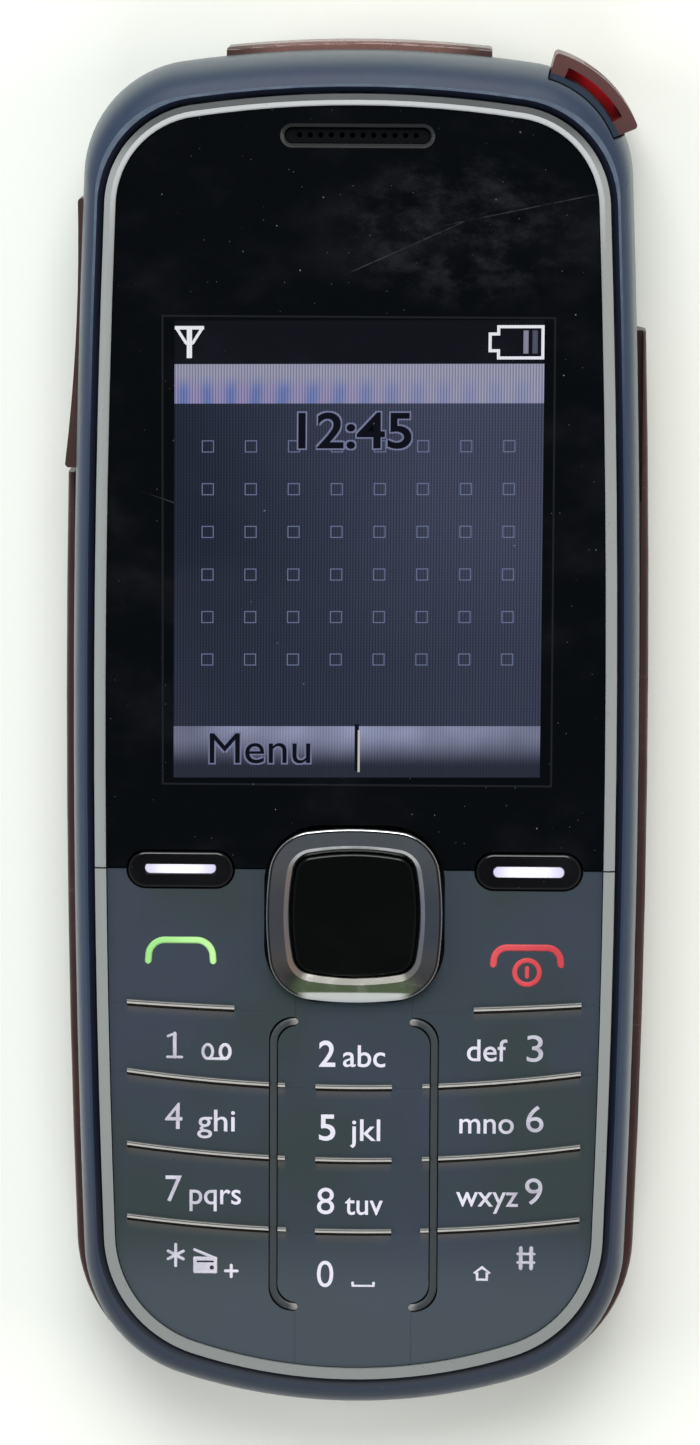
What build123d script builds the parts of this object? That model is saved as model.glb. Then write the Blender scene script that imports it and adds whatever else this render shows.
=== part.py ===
from build123d import *
import os

# A candybar feature phone, lying on its back: +X right, +Y towards the earpiece, +Z out of the screen.
# The origin is the middle of the overall box, on the plane that the back rests on.

os.makedirs("parts", exist_ok=True)

# Overall size
length = 106.4
width = 45.0
thickness = 13.8
overrun = 1.0  # how far a cutting shape passes a face
fit = 0.1  # clearance of a piece in its seat

# Plan outline: how the sides and ends curve
widest_share = -0.16  # of the half length
top_half_share = 0.945  # of the half width
bottom_half_share = 0.955
top_sag_share = 0.105
bottom_sag_share = 0.24

# Front cover
rail_stand = 0.75  # the rear cover's rails and lip beyond the front cover
lens_stand = 0.6  # the torch lens beyond the front cover
top_radius = 8.8
bottom_radius = 11.0
parting = 5.6  # height of the joint between front and rear shells
crest_drop = 0.8  # from the navigation ring's top to the cover's crest
side_shoulder = 1.05
top_shoulder = 2.4
bottom_shoulder = 1.4
shoulder_shares = ((0, 0.12), (0.35, 0), (0.68, 0.1), (0.88, 0.4), (1, 1))  # height, inset
front_wall = 1.3
rim_bevel = 0.4

body_half = width / 2 - rail_stand
body_top = length / 2 - lens_stand
body_bottom = rail_stand - length / 2
crest = thickness - crest_drop
widest_y = widest_share * length / 2

# Navigation plate, ring and key
navi_share = -0.25  # its middle, of the half length
navi_half = 6.77
navi_radius = 3.56
navi_bow = 4.0  # radius of the ring's bowed sides, of its half size
navi_gap = 0.17
navi_notch_radius = 4.45  # of the straight-sided notch round the ring
navi_opening = 4.93
navi_opening_radius = 1.5
navi_slope_reach = 1.6  # both sloping bands
navi_slope_drop = 0.25  # of the outer band
navi_rim_reach = 0.5  # steeper inner band
navi_rim_drop = 0.4
navi_lip = 0.15
navi_depth = 1.9
navi_key_gap = 0.12
navi_key_drop = 0.4
navi_key_thickness = 1.15
navi_key_edge = 0.25
navi_plate_thickness = 0.4
navi_plate_inset = 0.55
navi_rock_gap = 0.25
navi_well_ledge = 0.35
nub_diameter = 1.6
nub_offset = 4.6

navi_y = navi_share * length / 2
bow_rest = navi_bow - 1
bow_corner = ((bow_rest**2 + 2 * (bow_rest + navi_bow)) ** 0.5 - bow_rest) / 2
navi_radius_growth = (navi_radius - navi_opening_radius) / (navi_half - navi_opening)
navi_base = thickness - navi_depth
plate_base = navi_base - navi_rock_gap - navi_plate_thickness
plate_half = navi_half - navi_plate_inset
navi_key_half = navi_opening - navi_key_gap
navi_key_base = thickness - navi_key_drop - navi_key_thickness

# Trim rings and the flange that carries them
rim_side = 1.8
rim_top = 3.1
rim_bottom = 2.45
trim_gap = 0.15
trim_width = 0.85
trim_stand = 0.2
trim_drop = 0.12  # the lower trim below the upper one
trim_facet = 0.1  # bevel along the window
trim_slope = 0.45  # sloping outer part of the upper trim
trim_slope_drop = 0.17
flange_drop = 1.4  # from the crest down to the flange
flange_thickness = 0.6
flange_reach = 0.7
seam_rise = 3.5  # above the navigation ring's middle
seam_gap = 0.14

seam_y = navi_y + seam_rise
trim_half = body_half - rim_side
trim_top = body_top - rim_top
trim_bottom = body_bottom + rim_bottom
trim_height = crest + trim_stand
flange_top = crest - flange_drop
flange_base = flange_top - flange_thickness

# Window, its mask sheet, and the earpiece slot
window_gap = 0.08
window_thickness = 1.0
gasket_thickness = 0.4
aperture_margin = 0.9
earpiece_drop = 3.15  # the slot's middle below the trim's top
earpiece_width = 11.1
earpiece_height = 1.25
earpiece_bevel = 0.3
earpiece_ledge = 0.3  # the mask sheet's reach into the slot
mesh_gap = 0.05
mesh_pitch = 0.8
mesh_hole = 0.4
mesh_thickness = 0.3

earpiece_y = trim_top - earpiece_drop
field_inset = trim_width + window_gap
gasket_top = flange_top + gasket_thickness
window_top = gasket_top + window_thickness

# Display: the lit area keeps these distances to the trim and the navigation ring
display_side = 5.935
display_head = 17.23
display_foot = 3.76
glass_margin = 1.8
glass_ledge = 2.6  # the glass beyond the lit area's top, for the driver
glass_thickness = 0.8
glass_clearance = 0.3  # to the mask sheet
tray_wall = 0.9
ribbon_width = 14.0
ribbon_thickness = 0.15
ribbon_reach = 3.0

display_width = 2 * (trim_half - display_side)
display_bottom = navi_y + navi_half + display_foot
display_length = trim_top - display_head - display_bottom
display_y = display_bottom + display_length / 2

# Keypad
key_drop = 0.15  # the keys' faces below the crest
tile_thickness = 0.85
hairline = 0.05
first_rib_drop = 7.7  # the top rib below the navigation ring's middle
rib_span_share = 0.6  # of the keypad below the top rib
rib_place_shares = (0, 0.345, 0.675, 1)
rib_rise = 1.2  # how much higher a rib is at its outer end
rib_rise_shares = (0.5, 1, 1, 0.92)
rib_side = 2.45  # the ribs' outer ends to the trim
rib_inner_x = 5.3
rib_inner_shares = (1.74, 1, 1, 0.98)
rib_centre_x = 2.95
rib_width = 0.32
rib_height = 0.2
rib_shadow = 0.2
rib_shadow_depth = 0.35
groove_x = 6.2
groove_width = 0.7
hook_x = 4.5
hook_top_drop = 0.75  # below the top rib
hook_bottom_rise = 5.7  # above the trim's end
hook_reach = 1.8
hook_bend_share = 0.72
groove_bead = 0.4  # the web's bead that fills the grooves
groove_bead_drop = 0.08  # below the keys' faces

first_rib_y = navi_y - first_rib_drop
rib_span = (first_rib_y - trim_bottom) * rib_span_share
rib_outer_x = trim_half - rib_side
hook_top_y = first_rib_y - hook_top_drop
hook_bottom_y = trim_bottom + hook_bottom_rise
key_face = crest - key_drop
tile_base = key_face - tile_thickness
row_lines = [first_rib_y - rib_span * share for share in rib_place_shares]
row_rises = [rib_rise * share for share in rib_rise_shares]
rib_inners = [rib_inner_x * share for share in rib_inner_shares]

# Circuit board
board_thickness = 0.8
board_drop = 4.2  # from the crest down to the board's front face
board_gap = 0.25  # between the board's edge and the front cover's wall

board_top = crest - board_drop
board_base = board_top - board_thickness

# Domes under the keys, their plungers, and the rubber web
key_travel = 0.3
travel_spare = 0.05
plunger_diameter = 2.4
dome_diameter = 4.0
small_dome = 2.8
dome_height = 0.3
dome_crown_share = 0.6
web_thickness = 0.5
web_gap = 0.53  # between the web and the light tray
web_hole = 3.2  # round openings that plungers pass
light_x = 8.3
light_size = 0.9
light_height = 0.5

side_key_x = (groove_x + trim_half) / 2
plunger_base = board_top + dome_height + key_travel + travel_spare
web_base = flange_base - web_thickness
web_top_y = display_bottom - glass_margin - tray_wall - web_gap

# Soft keys
soft_drop = 0.1  # their middle below the seam
soft_room = 5.08  # left over between the navigation ring and the trim
soft_height = 2.8
soft_gap = 0.14
soft_stand = 0.05  # above the window
soft_edge = 0.25
bar_inset = 1.3  # from a soft key's ends
bar_height = 0.87
bar_radius = 0.2
bar_depth = 0.3

soft_x = (navi_half + trim_half) / 2
soft_y = seam_y - soft_drop
soft_width = trim_half - navi_half - soft_room
bar_width = soft_width - 2 * bar_inset
soft_top = window_top + soft_stand

# Chassis, with the board's tray above and the battery bay below
chassis_rim = 1.2
floor_thickness = 0.8
floor_gap = 1.2  # board to chassis floor
battery_side = 4.75  # from the front cover's side
battery_head = 31.1  # from its top end
battery_foot = 20.95  # from its bottom end
battery_thickness = 4.5
battery_edge = 0.8
bay_gap = 0.2
bay_wall = 1.1

floor_top = board_base - floor_gap
floor_base = floor_top - floor_thickness
tray_start = parting + fit
battery_base = floor_base - fit - battery_thickness
battery_width = 2 * (body_half - battery_side)
battery_length = body_top - battery_head - body_bottom - battery_foot
battery_y = body_bottom + battery_foot + battery_length / 2
bay_width = battery_width + 2 * bay_gap
bay_length = battery_length + 2 * bay_gap

# Volume rocker and its switches
rocker_drop = 21.6  # its middle, from the front cover's top end
rocker_length = 20.6
rocker_height = 2.7
rocker_z = 8.35
rocker_gap = 0.14
rocker_top_stand = 0.4
rocker_low_stand = 0.85
rocker_middle_stand = 0.2
rocker_depth = 0.9  # behind the outline
rocker_edge = 0.3
switch_width = 1.2
switch_length = 3.6
switch_height = 0.9
switch_offset = 5.6
switch_gap = 0.35

rocker_y = body_top - rocker_drop

# Rear shells
cover_seam_drop = 21.4  # from the front cover's top end
cover_floor = 1.0
back_radius = 4.0
rear_wall = 1.1
cover_inner_side = 0.75  # side wall's inner face, inside the front cover's side
rail_top = 6.6
rail_edge = 0.3
left_rail_gap = 0.7  # below the volume rocker
bead_depth = 0.3
bead_height = 0.4
bead_drop = 0.2  # below the rail's top
bead_top_drop = 2.0  # below the left rail's end
bead_bottom_rise = 22.45  # above the front cover's bottom end
grip_width = 14.0
grip_height = 1.2
grip_depth = 0.3
grip_pitch = 2.4
grip_drop = 9.2  # below the seam
grip_rows = 3

cover_seam_y = body_top - cover_seam_drop
left_rail_end_y = rocker_y - rocker_length / 2 - left_rail_gap
bead_top_y = left_rail_end_y - bead_top_drop
bead_bottom_y = body_bottom + bead_bottom_rise
grip_y = cover_seam_y - grip_drop
bead_base = rail_top - bead_drop - bead_height
bay_start = cover_floor + bay_gap

# Loudspeaker and its grille
speaker_side = 13.15  # its middle, from the front cover's side
speaker_drop = 12.2  # and from its top end
speaker_diameter = 15.0
speaker_height = 3.4
speaker_rim = 1.0
speaker_step = 0.3
grille_slot = 1.0
grille_length = 4.6
grille_pitch_x = 5.6
grille_pitch_y = 2.2
grille_columns = 2
grille_rows = 4

speaker_x = speaker_side - body_half
speaker_y = body_top - speaker_drop

# Strap eyelet in the top right corner; angles are in degrees from +X
eyelet_side = 9.45  # the band's middle, from the front cover's side
eyelet_drop = 9.3  # and from its top end
eyelet_outer = 9.6
eyelet_inner = 7.6
eyelet_slot_inner = 8.0
eyelet_slot_outer = 8.85
eyelet_start_angle = 22.0
eyelet_end_angle = 74.0
eyelet_slot_angle = 8.0
eyelet_slack_angle = 1.0
eyelet_window_angle = 14.0
eyelet_window_height = 1.9
eyelet_slot_floor = 2.6  # above the eyelet's base
eyelet_base = 3.4
eyelet_top = 10.3
eyelet_edge = 0.3

eyelet_x = body_half - eyelet_side
eyelet_y = body_top - eyelet_drop

# Torch
lens_margin = 2.2  # its ends to the strap eyelet's middle
lens_base = 3.0
lens_top = 7.6
lens_depth = 1.2
lens_edge = 0.25
lens_stem_width = 3.0
lens_stem_height = 0.8
led_drop = 4.0  # its middle below the front cover's top end
led_width = 2.4
led_length = 1.8
led_height = 1.0

lens_half = eyelet_x - lens_margin
led_y = body_top - led_drop

# Screws
screw_side = 4.45  # from the front cover's side
screw_head_drop = 13.0  # from its top end
screw_foot_rise = 10.85  # from its bottom end
screw_diameter = 1.4
screw_head = 2.8
screw_head_height = 0.8
screw_socket = 1.2
screw_slack = 0.1
screw_hole = 1.8
screw_tip = 0.3
boss_diameter = 3.2

screw_x = body_half - screw_side
screw_top_y = body_top - screw_head_drop
screw_bottom_y = body_bottom + screw_foot_rise
screw_places = [(side * screw_x, y) for side in (-1, 1) for y in (screw_top_y, screw_bottom_y)]

# Sockets and microphone in the bottom end
jack_x = -7.0
jack_bore = 2.54
jack_length = 10.0
jack_body = 4.2
charger_x = 7.0
charger_bore = 2.1
charger_length = 7.0
charger_body = 3.6
socket_z = 8.3
socket_tail = 1.2
socket_setback = 1.2
socket_nose = 0.6  # wall of the round nose that stands in the front cover's hole
socket_play = 0.1  # between nose and hole
socket_inset = 1.1  # the nose's mouth, above the front cover's bottom end
microphone_diameter = 3.6
microphone_height = 1.1
microphone_rise = 5.05  # above the front cover's bottom end
microphone_hole = 0.9

microphone_y = body_bottom + microphone_rise
socket_front = body_bottom + front_wall + socket_setback
socket_mouth = body_bottom + socket_inset
nose_length = socket_front - socket_mouth
microphone_z = (floor_top + board_base) / 2
wall_y = body_bottom - overrun
wall_reach = 2 * overrun + front_wall + chassis_rim

# Battery contacts
contact_width = 8.0
contact_depth = 2.4
contact_x = -8.0
contact_blade = 1.1
contact_height = 1.6
contact_pitch = 2.5

contact_y = battery_y + battery_length / 2 + bay_gap + bay_wall + contact_depth / 2
contact_base = battery_base + (battery_thickness - contact_height) / 2

# Earpiece, shield cans with their chips, and card holder
receiver_width = 12.0
receiver_length = 6.6
receiver_height = 2.0
receiver_drop = 1.75  # its middle below the slot's
can_height = 1.0
can_wall = 0.2
radio_can_width = 15.0
radio_can_length = 13.0
radio_can_side = 13.75  # its middle, from the front cover's side
radio_can_drop = 14.6  # and from its top end
logic_can_width = 21.0
logic_can_length = 15.0
logic_can_x = -3.0
logic_can_gap = 2.5  # below the card holder
chip_height = 0.8
chip_shares = (0.36, 0.28)  # of the can's width
sim_width = 27.0
sim_length = 16.5
sim_x = -1.5
sim_gap = 2.5  # below the battery contacts
sim_height = 1.0
sim_slot = 0.5
sim_wall = 0.8
sim_lip = 0.2

receiver_y = earpiece_y - receiver_drop
radio_can_x = radio_can_side - body_half
radio_can_y = body_top - radio_can_drop
sim_y = contact_y - (contact_depth + sim_length) / 2 - sim_gap
logic_can_y = sim_y - (sim_length + logic_can_length) / 2 - logic_can_gap
radio_can = (radio_can_width, radio_can_length, radio_can_x, radio_can_y)
logic_can = (logic_can_width, logic_can_length, logic_can_x, logic_can_y)

# Vibration motor and its weight
motor_side_share = 0.3494  # its middle, of the front cover's half width
motor_drop = 17.0  # from the front cover's top end
motor_diameter = 4.0
motor_length = 8.0
weight_length = 3.2
weight_diameter = 3.6
weight_gap = 0.4
shaft_diameter = 0.8
shaft_grip = 1.5
shaft_gap = 0.06
shaft_collar = 0.3

motor_x = motor_side_share * body_half
motor_y = body_top - motor_drop
motor_z = tray_start - fit / 2 - motor_diameter / 2
motor_end = motor_x + motor_length / 2

# Antenna
carrier_side = 6.85  # from the front cover's side
carrier_drop = 8.6  # its middle, from the front cover's top end
carrier_width = 8.0
carrier_length = 8.4
carrier_height = 3.6
carrier_edge = 0.8
carrier_wall = 0.9
foil_thickness = 0.12
foil_width = 1.0

carrier_x = body_half - carrier_side - carrier_width / 2
carrier_y = body_top - carrier_drop
carrier_base = parting - carrier_height


def outline(sizes, height=0.0, grow=0.0):
    """The phone's bowed outline, grown all round: half width, ends on the middle line, corner radii."""
    half, top, bottom, upper_radius, lower_radius = sizes
    half += grow
    top += grow
    bottom -= grow
    upper = (half * top_half_share, top - half * top_sag_share)
    lower = (half * bottom_half_share, bottom + half * bottom_sag_share)
    with BuildSketch(Plane.XY.offset(height)) as shape:
        with BuildLine():
            ThreePointArc((-upper[0], upper[1]), (0, top), upper)
            ThreePointArc(upper, (half, widest_y), lower)
            ThreePointArc(lower, (0, bottom), (-lower[0], lower[1]))
            ThreePointArc((-lower[0], lower[1]), (-half, widest_y), (-upper[0], upper[1]))
        make_face()
        fillet(shape.vertices().group_by(Axis.Y)[-1], upper_radius + grow)
        fillet(shape.vertices().group_by(Axis.Y)[0], lower_radius + grow)
    return shape.sketch


def block(x, y, z, wide, long, high):
    """A box by its middle in plan and its base height."""
    with BuildPart() as box:
        with Locations((x, y, z)):
            Box(wide, long, high, align=(Align.CENTER, Align.CENTER, Align.MIN))
    return box.part


def rod(x, y, z, diameter, high):
    """An upright cylinder by its axis and its base height."""
    with BuildPart() as cylinder:
        with Locations((x, y, z)):
            Cylinder(diameter / 2, high, align=(Align.CENTER, Align.CENTER, Align.MIN))
    return cylinder.part


def bar_along_y(x, y, z, diameter, long):
    """A cylinder along the phone, by its axis and its lower end."""
    with BuildPart() as cylinder:
        with Locations(Location((x, y, z), (-90, 0, 0))):
            Cylinder(diameter / 2, long, align=(Align.CENTER, Align.CENTER, Align.MIN))
    return cylinder.part


def save(piece, name):
    """Label a finished piece and write its file."""
    piece.part.label = name
    export_step(piece.part, f"parts/{name}.step")


body_sizes = (body_half, body_top, body_bottom, top_radius, bottom_radius)
trim_sizes = (
    trim_half,
    trim_top,
    trim_bottom,
    top_radius - side_shoulder,
    bottom_radius - side_shoulder,
)


# Plan shapes that several pieces share


def navi_square(half, radius, height=0.0):
    """A rounded square round the navigation ring's middle."""
    with BuildSketch(Plane.XY.offset(height)) as square:
        with Locations((0, navi_y)):
            RectangleRounded(2 * half, 2 * half, radius)
    return square.sketch


def navi_cushion(half, radius, height=0.0):
    """A rounded square with bowed sides, round the navigation ring's middle."""
    corner = half * bow_corner
    corners = [(x * corner, navi_y + y * corner) for x, y in ((-1, 1), (1, 1), (1, -1), (-1, -1))]
    middles = [(0, navi_y + half), (half, navi_y), (0, navi_y - half), (-half, navi_y)]
    with BuildSketch(Plane.XY.offset(height)) as cushion:
        with BuildLine():
            for start, middle, end in zip(corners, middles, corners[1:] + corners[:1]):
                ThreePointArc(start, middle, end)
        make_face()
        fillet(cushion.vertices(), radius)
    return cushion.sketch


def soft_pill(side, grow, height=0.0):
    """A soft key's outline."""
    with BuildSketch(Plane.XY.offset(height)) as pill:
        with Locations((side * soft_x, soft_y)):
            SlotOverall(soft_width + 2 * grow, soft_height + 2 * grow)
    return pill.sketch


def half_field(top, bottom, grow, height=0.0):
    """The part of the trims' outline between two lines across the phone."""
    with BuildSketch(Plane.XY.offset(height)) as field:
        add(outline(trim_sizes, height, grow))
        with Locations((0, bottom)):
            Rectangle(width, top - bottom, align=(Align.CENTER, Align.MIN), mode=Mode.INTERSECT)
    return field.sketch


def corner_band(inner, outer, start, end, height=0.0):
    """A bent band round the middle of the top right corner."""
    middle = (start + end) / 2
    spots = [
        Vector(eyelet_x, eyelet_y) + Vector(radius, 0).rotate(Axis.Z, angle)
        for radius, angle in (
            (inner, start),
            (inner, middle),
            (inner, end),
            (outer, end),
            (outer, middle),
            (outer, start),
        )
    ]
    with BuildSketch(Plane.XY.offset(height)) as band:
        with BuildLine():
            ThreePointArc(*spots[:3])
            Line(spots[2], spots[3])
            ThreePointArc(*spots[3:])
            Line(spots[5], spots[0])
        make_face()
    return band.sketch


def lens_strip(grow, height):
    """The torch lens in plan, across the top end."""
    with BuildSketch(Plane.XY.offset(height)) as strip:
        add(outline(body_sizes, height, lens_stand))
        add(outline(body_sizes, height, -lens_depth - grow), mode=Mode.SUBTRACT)
        with Locations((0, body_top)):
            Rectangle(2 * (lens_half + grow), 2 * rim_top, mode=Mode.INTERSECT)
    return strip.sketch


def side_reach(y):
    """Half the front cover's width at a place along it."""
    ray = Line((0, y), (width, y)) & outline(body_sizes)
    return ray.length


# Front cover: a lofted pebble shell with a stepped opening for the trims, window and keys

with BuildPart() as front_cover:
    loft(
        [
            outline(
                (
                    body_half - side_shoulder * inset,
                    body_top - top_shoulder * inset,
                    body_bottom + bottom_shoulder * inset,
                    top_radius - side_shoulder * inset,
                    bottom_radius - side_shoulder * inset,
                ),
                parting + (crest - parting) * rise,
            ).face()
            for rise, inset in shoulder_shares
        ]
    )
    extrude(outline(trim_sizes, flange_top, trim_gap), amount=flange_drop + overrun, mode=Mode.SUBTRACT)
    rim = front_cover.faces().filter_by(Plane.XY).sort_by(Axis.Z)[-1]
    chamfer(rim.inner_wires()[0].edges(), rim_bevel)
    extrude(
        outline(body_sizes, parting - overrun, -front_wall),
        amount=flange_base - parting + overrun,
        mode=Mode.SUBTRACT,
    )
    extrude(
        outline(trim_sizes, flange_base - overrun, -trim_width - flange_reach),
        amount=flange_thickness + 2 * overrun,
        mode=Mode.SUBTRACT,
    )
    for x, y in screw_places:
        add(rod(x, y, board_top + fit, boss_diameter, flange_top - board_top - fit))
        add(rod(x, y, board_top, screw_diameter + screw_slack, flange_base - board_top), mode=Mode.SUBTRACT)
    # grooves that the rear cover's beads slide in
    groove_inner = body_half - bead_depth
    for side in (-1, 1):
        add(
            block(
                side * (groove_inner + overrun / 2),
                (bead_top_y + fit - length) / 2,
                bead_base - fit,
                overrun,
                bead_top_y + fit + length,
                bead_height + 2 * fit,
            ),
            mode=Mode.SUBTRACT,
        )
    # window for the volume rocker
    add(
        block(
            -body_half,
            rocker_y,
            rocker_z - rocker_height / 2 - rocker_gap,
            2 * (front_wall + overrun),
            rocker_length + 2 * rocker_gap,
            rocker_height + 2 * rocker_gap,
        ),
        mode=Mode.SUBTRACT,
    )
    extrude(lens_strip(fit, parting - overrun), amount=lens_top + fit - parting + overrun, mode=Mode.SUBTRACT)
    extrude(
        corner_band(
            eyelet_inner - fit,
            eyelet_outer + overrun,
            eyelet_start_angle - eyelet_slack_angle,
            eyelet_end_angle + eyelet_slack_angle,
        ),
        amount=thickness,
        mode=Mode.SUBTRACT,
    )
    for x, bore in ((jack_x, jack_bore), (charger_x, charger_bore)):
        hole = bore + 2 * socket_nose + 2 * socket_play
        add(bar_along_y(x, wall_y, socket_z, hole, wall_reach), mode=Mode.SUBTRACT)
    add(bar_along_y(0, wall_y, microphone_z, microphone_hole, wall_reach), mode=Mode.SUBTRACT)
save(front_cover, "front_cover")


# Silver trim rings, split at the seam between window and keypad

with BuildPart() as trim_upper:
    extrude(half_field(length, seam_y + seam_gap / 2, 0, flange_top), amount=trim_height - flange_top)
    extrude(outline(trim_sizes, flange_top, -trim_width), amount=trim_height, mode=Mode.SUBTRACT)
    for grow, reach, drop in ((0, trim_slope, trim_slope_drop), (-trim_width, trim_facet, trim_facet)):
        rim = outline(trim_sizes, trim_height, grow).face().outer_wire()
        top_face = trim_upper.faces().filter_by(Plane.XY).sort_by(Axis.Z)[-1]
        along = top_face.edges().filter_by(lambda edge: Vertex(*(edge @ 0.5)).distance_to(rim) < window_gap)
        chamfer(along, reach, drop, reference=top_face)
save(trim_upper, "trim_upper")

with BuildPart() as trim_lower:
    extrude(
        half_field(seam_y - seam_gap / 2, -length, 0, flange_top), amount=trim_height - trim_drop - flange_top
    )
    extrude(outline(trim_sizes, flange_top, -trim_width), amount=trim_height, mode=Mode.SUBTRACT)
save(trim_lower, "trim_lower")


# Display window with its mask sheet, and the mesh in the earpiece slot


def window_field(height, grow=0.0):
    """The window's outline, notched for the soft keys and the navigation ring."""
    with BuildSketch(Plane.XY.offset(height)) as field:
        add(half_field(length, seam_y + seam_gap / 2, -field_inset, height))
        add(navi_square(navi_half + navi_gap, navi_notch_radius, height), mode=Mode.SUBTRACT)
        for side in (-1, 1):
            add(soft_pill(side, soft_gap, height), mode=Mode.SUBTRACT)
        with Locations((0, earpiece_y)):
            SlotOverall(earpiece_width + 2 * grow, earpiece_height + 2 * grow, mode=Mode.SUBTRACT)
    return field.sketch


with BuildPart() as display_window:
    extrude(window_field(gasket_top), amount=window_thickness)
    slot_edges = display_window.edges().filter_by_position(Axis.Z, window_top - fit, window_top + fit)
    slot_edges = slot_edges.filter_by_position(
        Axis.Y, earpiece_y - earpiece_height, earpiece_y + earpiece_height
    )
    chamfer(slot_edges.filter_by_position(Axis.X, -earpiece_width, earpiece_width), earpiece_bevel)
save(display_window, "display_window")

with BuildPart() as window_gasket:
    extrude(window_field(flange_top, -earpiece_ledge), amount=gasket_thickness)
    add(
        block(
            0,
            display_y,
            flange_top - overrun,
            display_width + 2 * aperture_margin,
            display_length + 2 * aperture_margin,
            gasket_thickness + 2 * overrun,
        ),
        mode=Mode.SUBTRACT,
    )
save(window_gasket, "window_gasket")

with BuildPart() as earpiece_mesh:
    with BuildSketch(Plane.XY.offset(gasket_top)):
        with Locations((0, earpiece_y)):
            SlotOverall(earpiece_width - 2 * mesh_gap, earpiece_height - 2 * mesh_gap)
            with GridLocations(mesh_pitch, 0, int((earpiece_width - earpiece_height) / mesh_pitch), 1):
                Circle(mesh_hole / 2, mode=Mode.SUBTRACT)
    extrude(amount=mesh_thickness)
save(earpiece_mesh, "earpiece_mesh")


# Display: light tray, glass, and the ribbon to the board

glass_width = display_width + 2 * glass_margin
glass_length = display_length + glass_margin + glass_ledge
glass_y = display_y + (glass_ledge - glass_margin) / 2
tray_base = board_top + fit
tray_top = flange_top - glass_clearance
glass_base = tray_top - glass_thickness - fit / 2

with BuildPart() as backlight_tray:
    add(
        block(
            0,
            glass_y,
            tray_base,
            glass_width + 2 * tray_wall,
            glass_length + 2 * tray_wall,
            tray_top - tray_base,
        )
    )
    fillet(backlight_tray.edges().filter_by(Axis.Z), tray_wall / 2)
    add(
        block(0, glass_y, glass_base - fit / 2, glass_width + 2 * fit, glass_length + 2 * fit, overrun * 2),
        mode=Mode.SUBTRACT,
    )
save(backlight_tray, "backlight_tray")

with BuildPart() as lcd_panel:
    add(block(0, glass_y, glass_base, glass_width, glass_length, glass_thickness))
save(lcd_panel, "lcd_panel")

ribbon_y = glass_y + glass_length / 2 + tray_wall + fit

with BuildPart() as display_flex:
    add(
        block(
            0,
            ribbon_y + ribbon_thickness / 2,
            board_top,
            ribbon_width,
            ribbon_thickness,
            glass_base - board_top,
        )
    )
    add(block(0, ribbon_y + ribbon_reach / 2, board_top, ribbon_width, ribbon_reach, ribbon_thickness))
save(display_flex, "display_flex")


# Keypad: fourteen tiles split along the ribs and grooves, each with a plunger over its dome


def row_band(upper, lower, height):
    """The strip between two lines across the keypad, each given as middle height and rise."""
    reach = trim_half
    growth = (reach / rib_outer_x) ** 2
    with BuildSketch(Plane.XY.offset(height)) as band:
        with BuildLine():
            for y, rise in (upper, lower):
                ends = (-reach, y + rise * growth), (reach, y + rise * growth)
                if rise:
                    ThreePointArc(ends[0], (0, y), ends[1])
                else:
                    Line(*ends)
            for side in (-1, 1):
                Line(*((side * reach, y + rise * growth) for y, rise in (upper, lower)))
        make_face()
    return band.sketch


def middle_column(grow, neck_grow, height):
    """The keypad between the bracket grooves, with its two necks."""
    waist = groove_x + grow
    neck = hook_x + neck_grow
    upper = hook_top_y + grow
    lower = hook_bottom_y - grow
    bend_x = neck + (waist - neck) * hook_bend_share
    bend_y = hook_reach * (1 - hook_bend_share)
    with BuildSketch(Plane.XY.offset(height)) as column:
        with BuildLine():
            Line((0, seam_y), (neck, seam_y))
            Line((neck, seam_y), (neck, upper))
            ThreePointArc((neck, upper), (bend_x, upper - bend_y), (waist, upper - hook_reach))
            Line((waist, upper - hook_reach), (waist, lower + hook_reach))
            ThreePointArc((waist, lower + hook_reach), (bend_x, lower + bend_y), (neck, lower))
            Line((neck, lower), (neck, -length / 2))
            Line((neck, -length / 2), (0, -length / 2))
            mirror(about=Plane.YZ)
        make_face()
    return column.sketch


def rib_strip(row, column, low, high, height):
    """A strip along one of the ribs, from low to high above its line."""
    y, rise = row_lines[row], row_rises[row]
    inner = -rib_centre_x if column == 0 else rib_inners[row]
    outer = rib_centre_x if column == 0 else rib_outer_x
    with BuildSketch(Plane.XY.offset(height)) as strip:
        add(row_band((y + high, rise), (y + low, rise), height))
        with Locations((column * (inner + outer) / 2 if column else 0, 0)):
            Rectangle(outer - inner, 2 * length, mode=Mode.INTERSECT)
    return strip.sketch


def row_limits(row):
    """The lines above and below a row of keys, a hairline apart from the next row's."""
    lines = list(zip(row_lines, row_rises))
    upper = (seam_y - seam_gap / 2, 0) if row == 0 else (lines[row - 1][0] - hairline / 2, lines[row - 1][1])
    lower = (trim_bottom, 0) if row == len(lines) else (lines[row][0] + hairline / 2, lines[row][1])
    return upper, lower


def key_tile(row, column, height):
    """A key's outline: column is -1, 0 or 1 from left to right."""
    upper, lower = row_limits(row)
    with BuildSketch(Plane.XY.offset(height)) as tile:
        add(half_field(seam_y, -length / 2, -field_inset, height))
        if column:
            add(row_band(upper, lower, height), mode=Mode.INTERSECT)
            with Locations((column * width / 2, 0)):
                Rectangle(width, 2 * length, mode=Mode.INTERSECT)
            add(middle_column(groove_width / 2, hairline / 2, height), mode=Mode.SUBTRACT)
        else:
            neck_top = (seam_y, 0) if row == 1 else upper
            add(row_band(neck_top, lower, height), mode=Mode.INTERSECT)
            add(middle_column(-groove_width / 2, -hairline / 2, height), mode=Mode.INTERSECT)
        add(navi_square(navi_half + navi_gap, navi_notch_radius, height), mode=Mode.SUBTRACT)
        if row == 0:
            add(soft_pill(column, soft_gap, height), mode=Mode.SUBTRACT)
    return tile.sketch


def plunger_place(row, column):
    """Where a key's plunger and dome are."""
    upper, lower = row_limits(row)
    return column * side_key_x, (upper[0] + upper[1] * abs(column) + lower[0] + lower[1] * abs(column)) / 2


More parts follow.
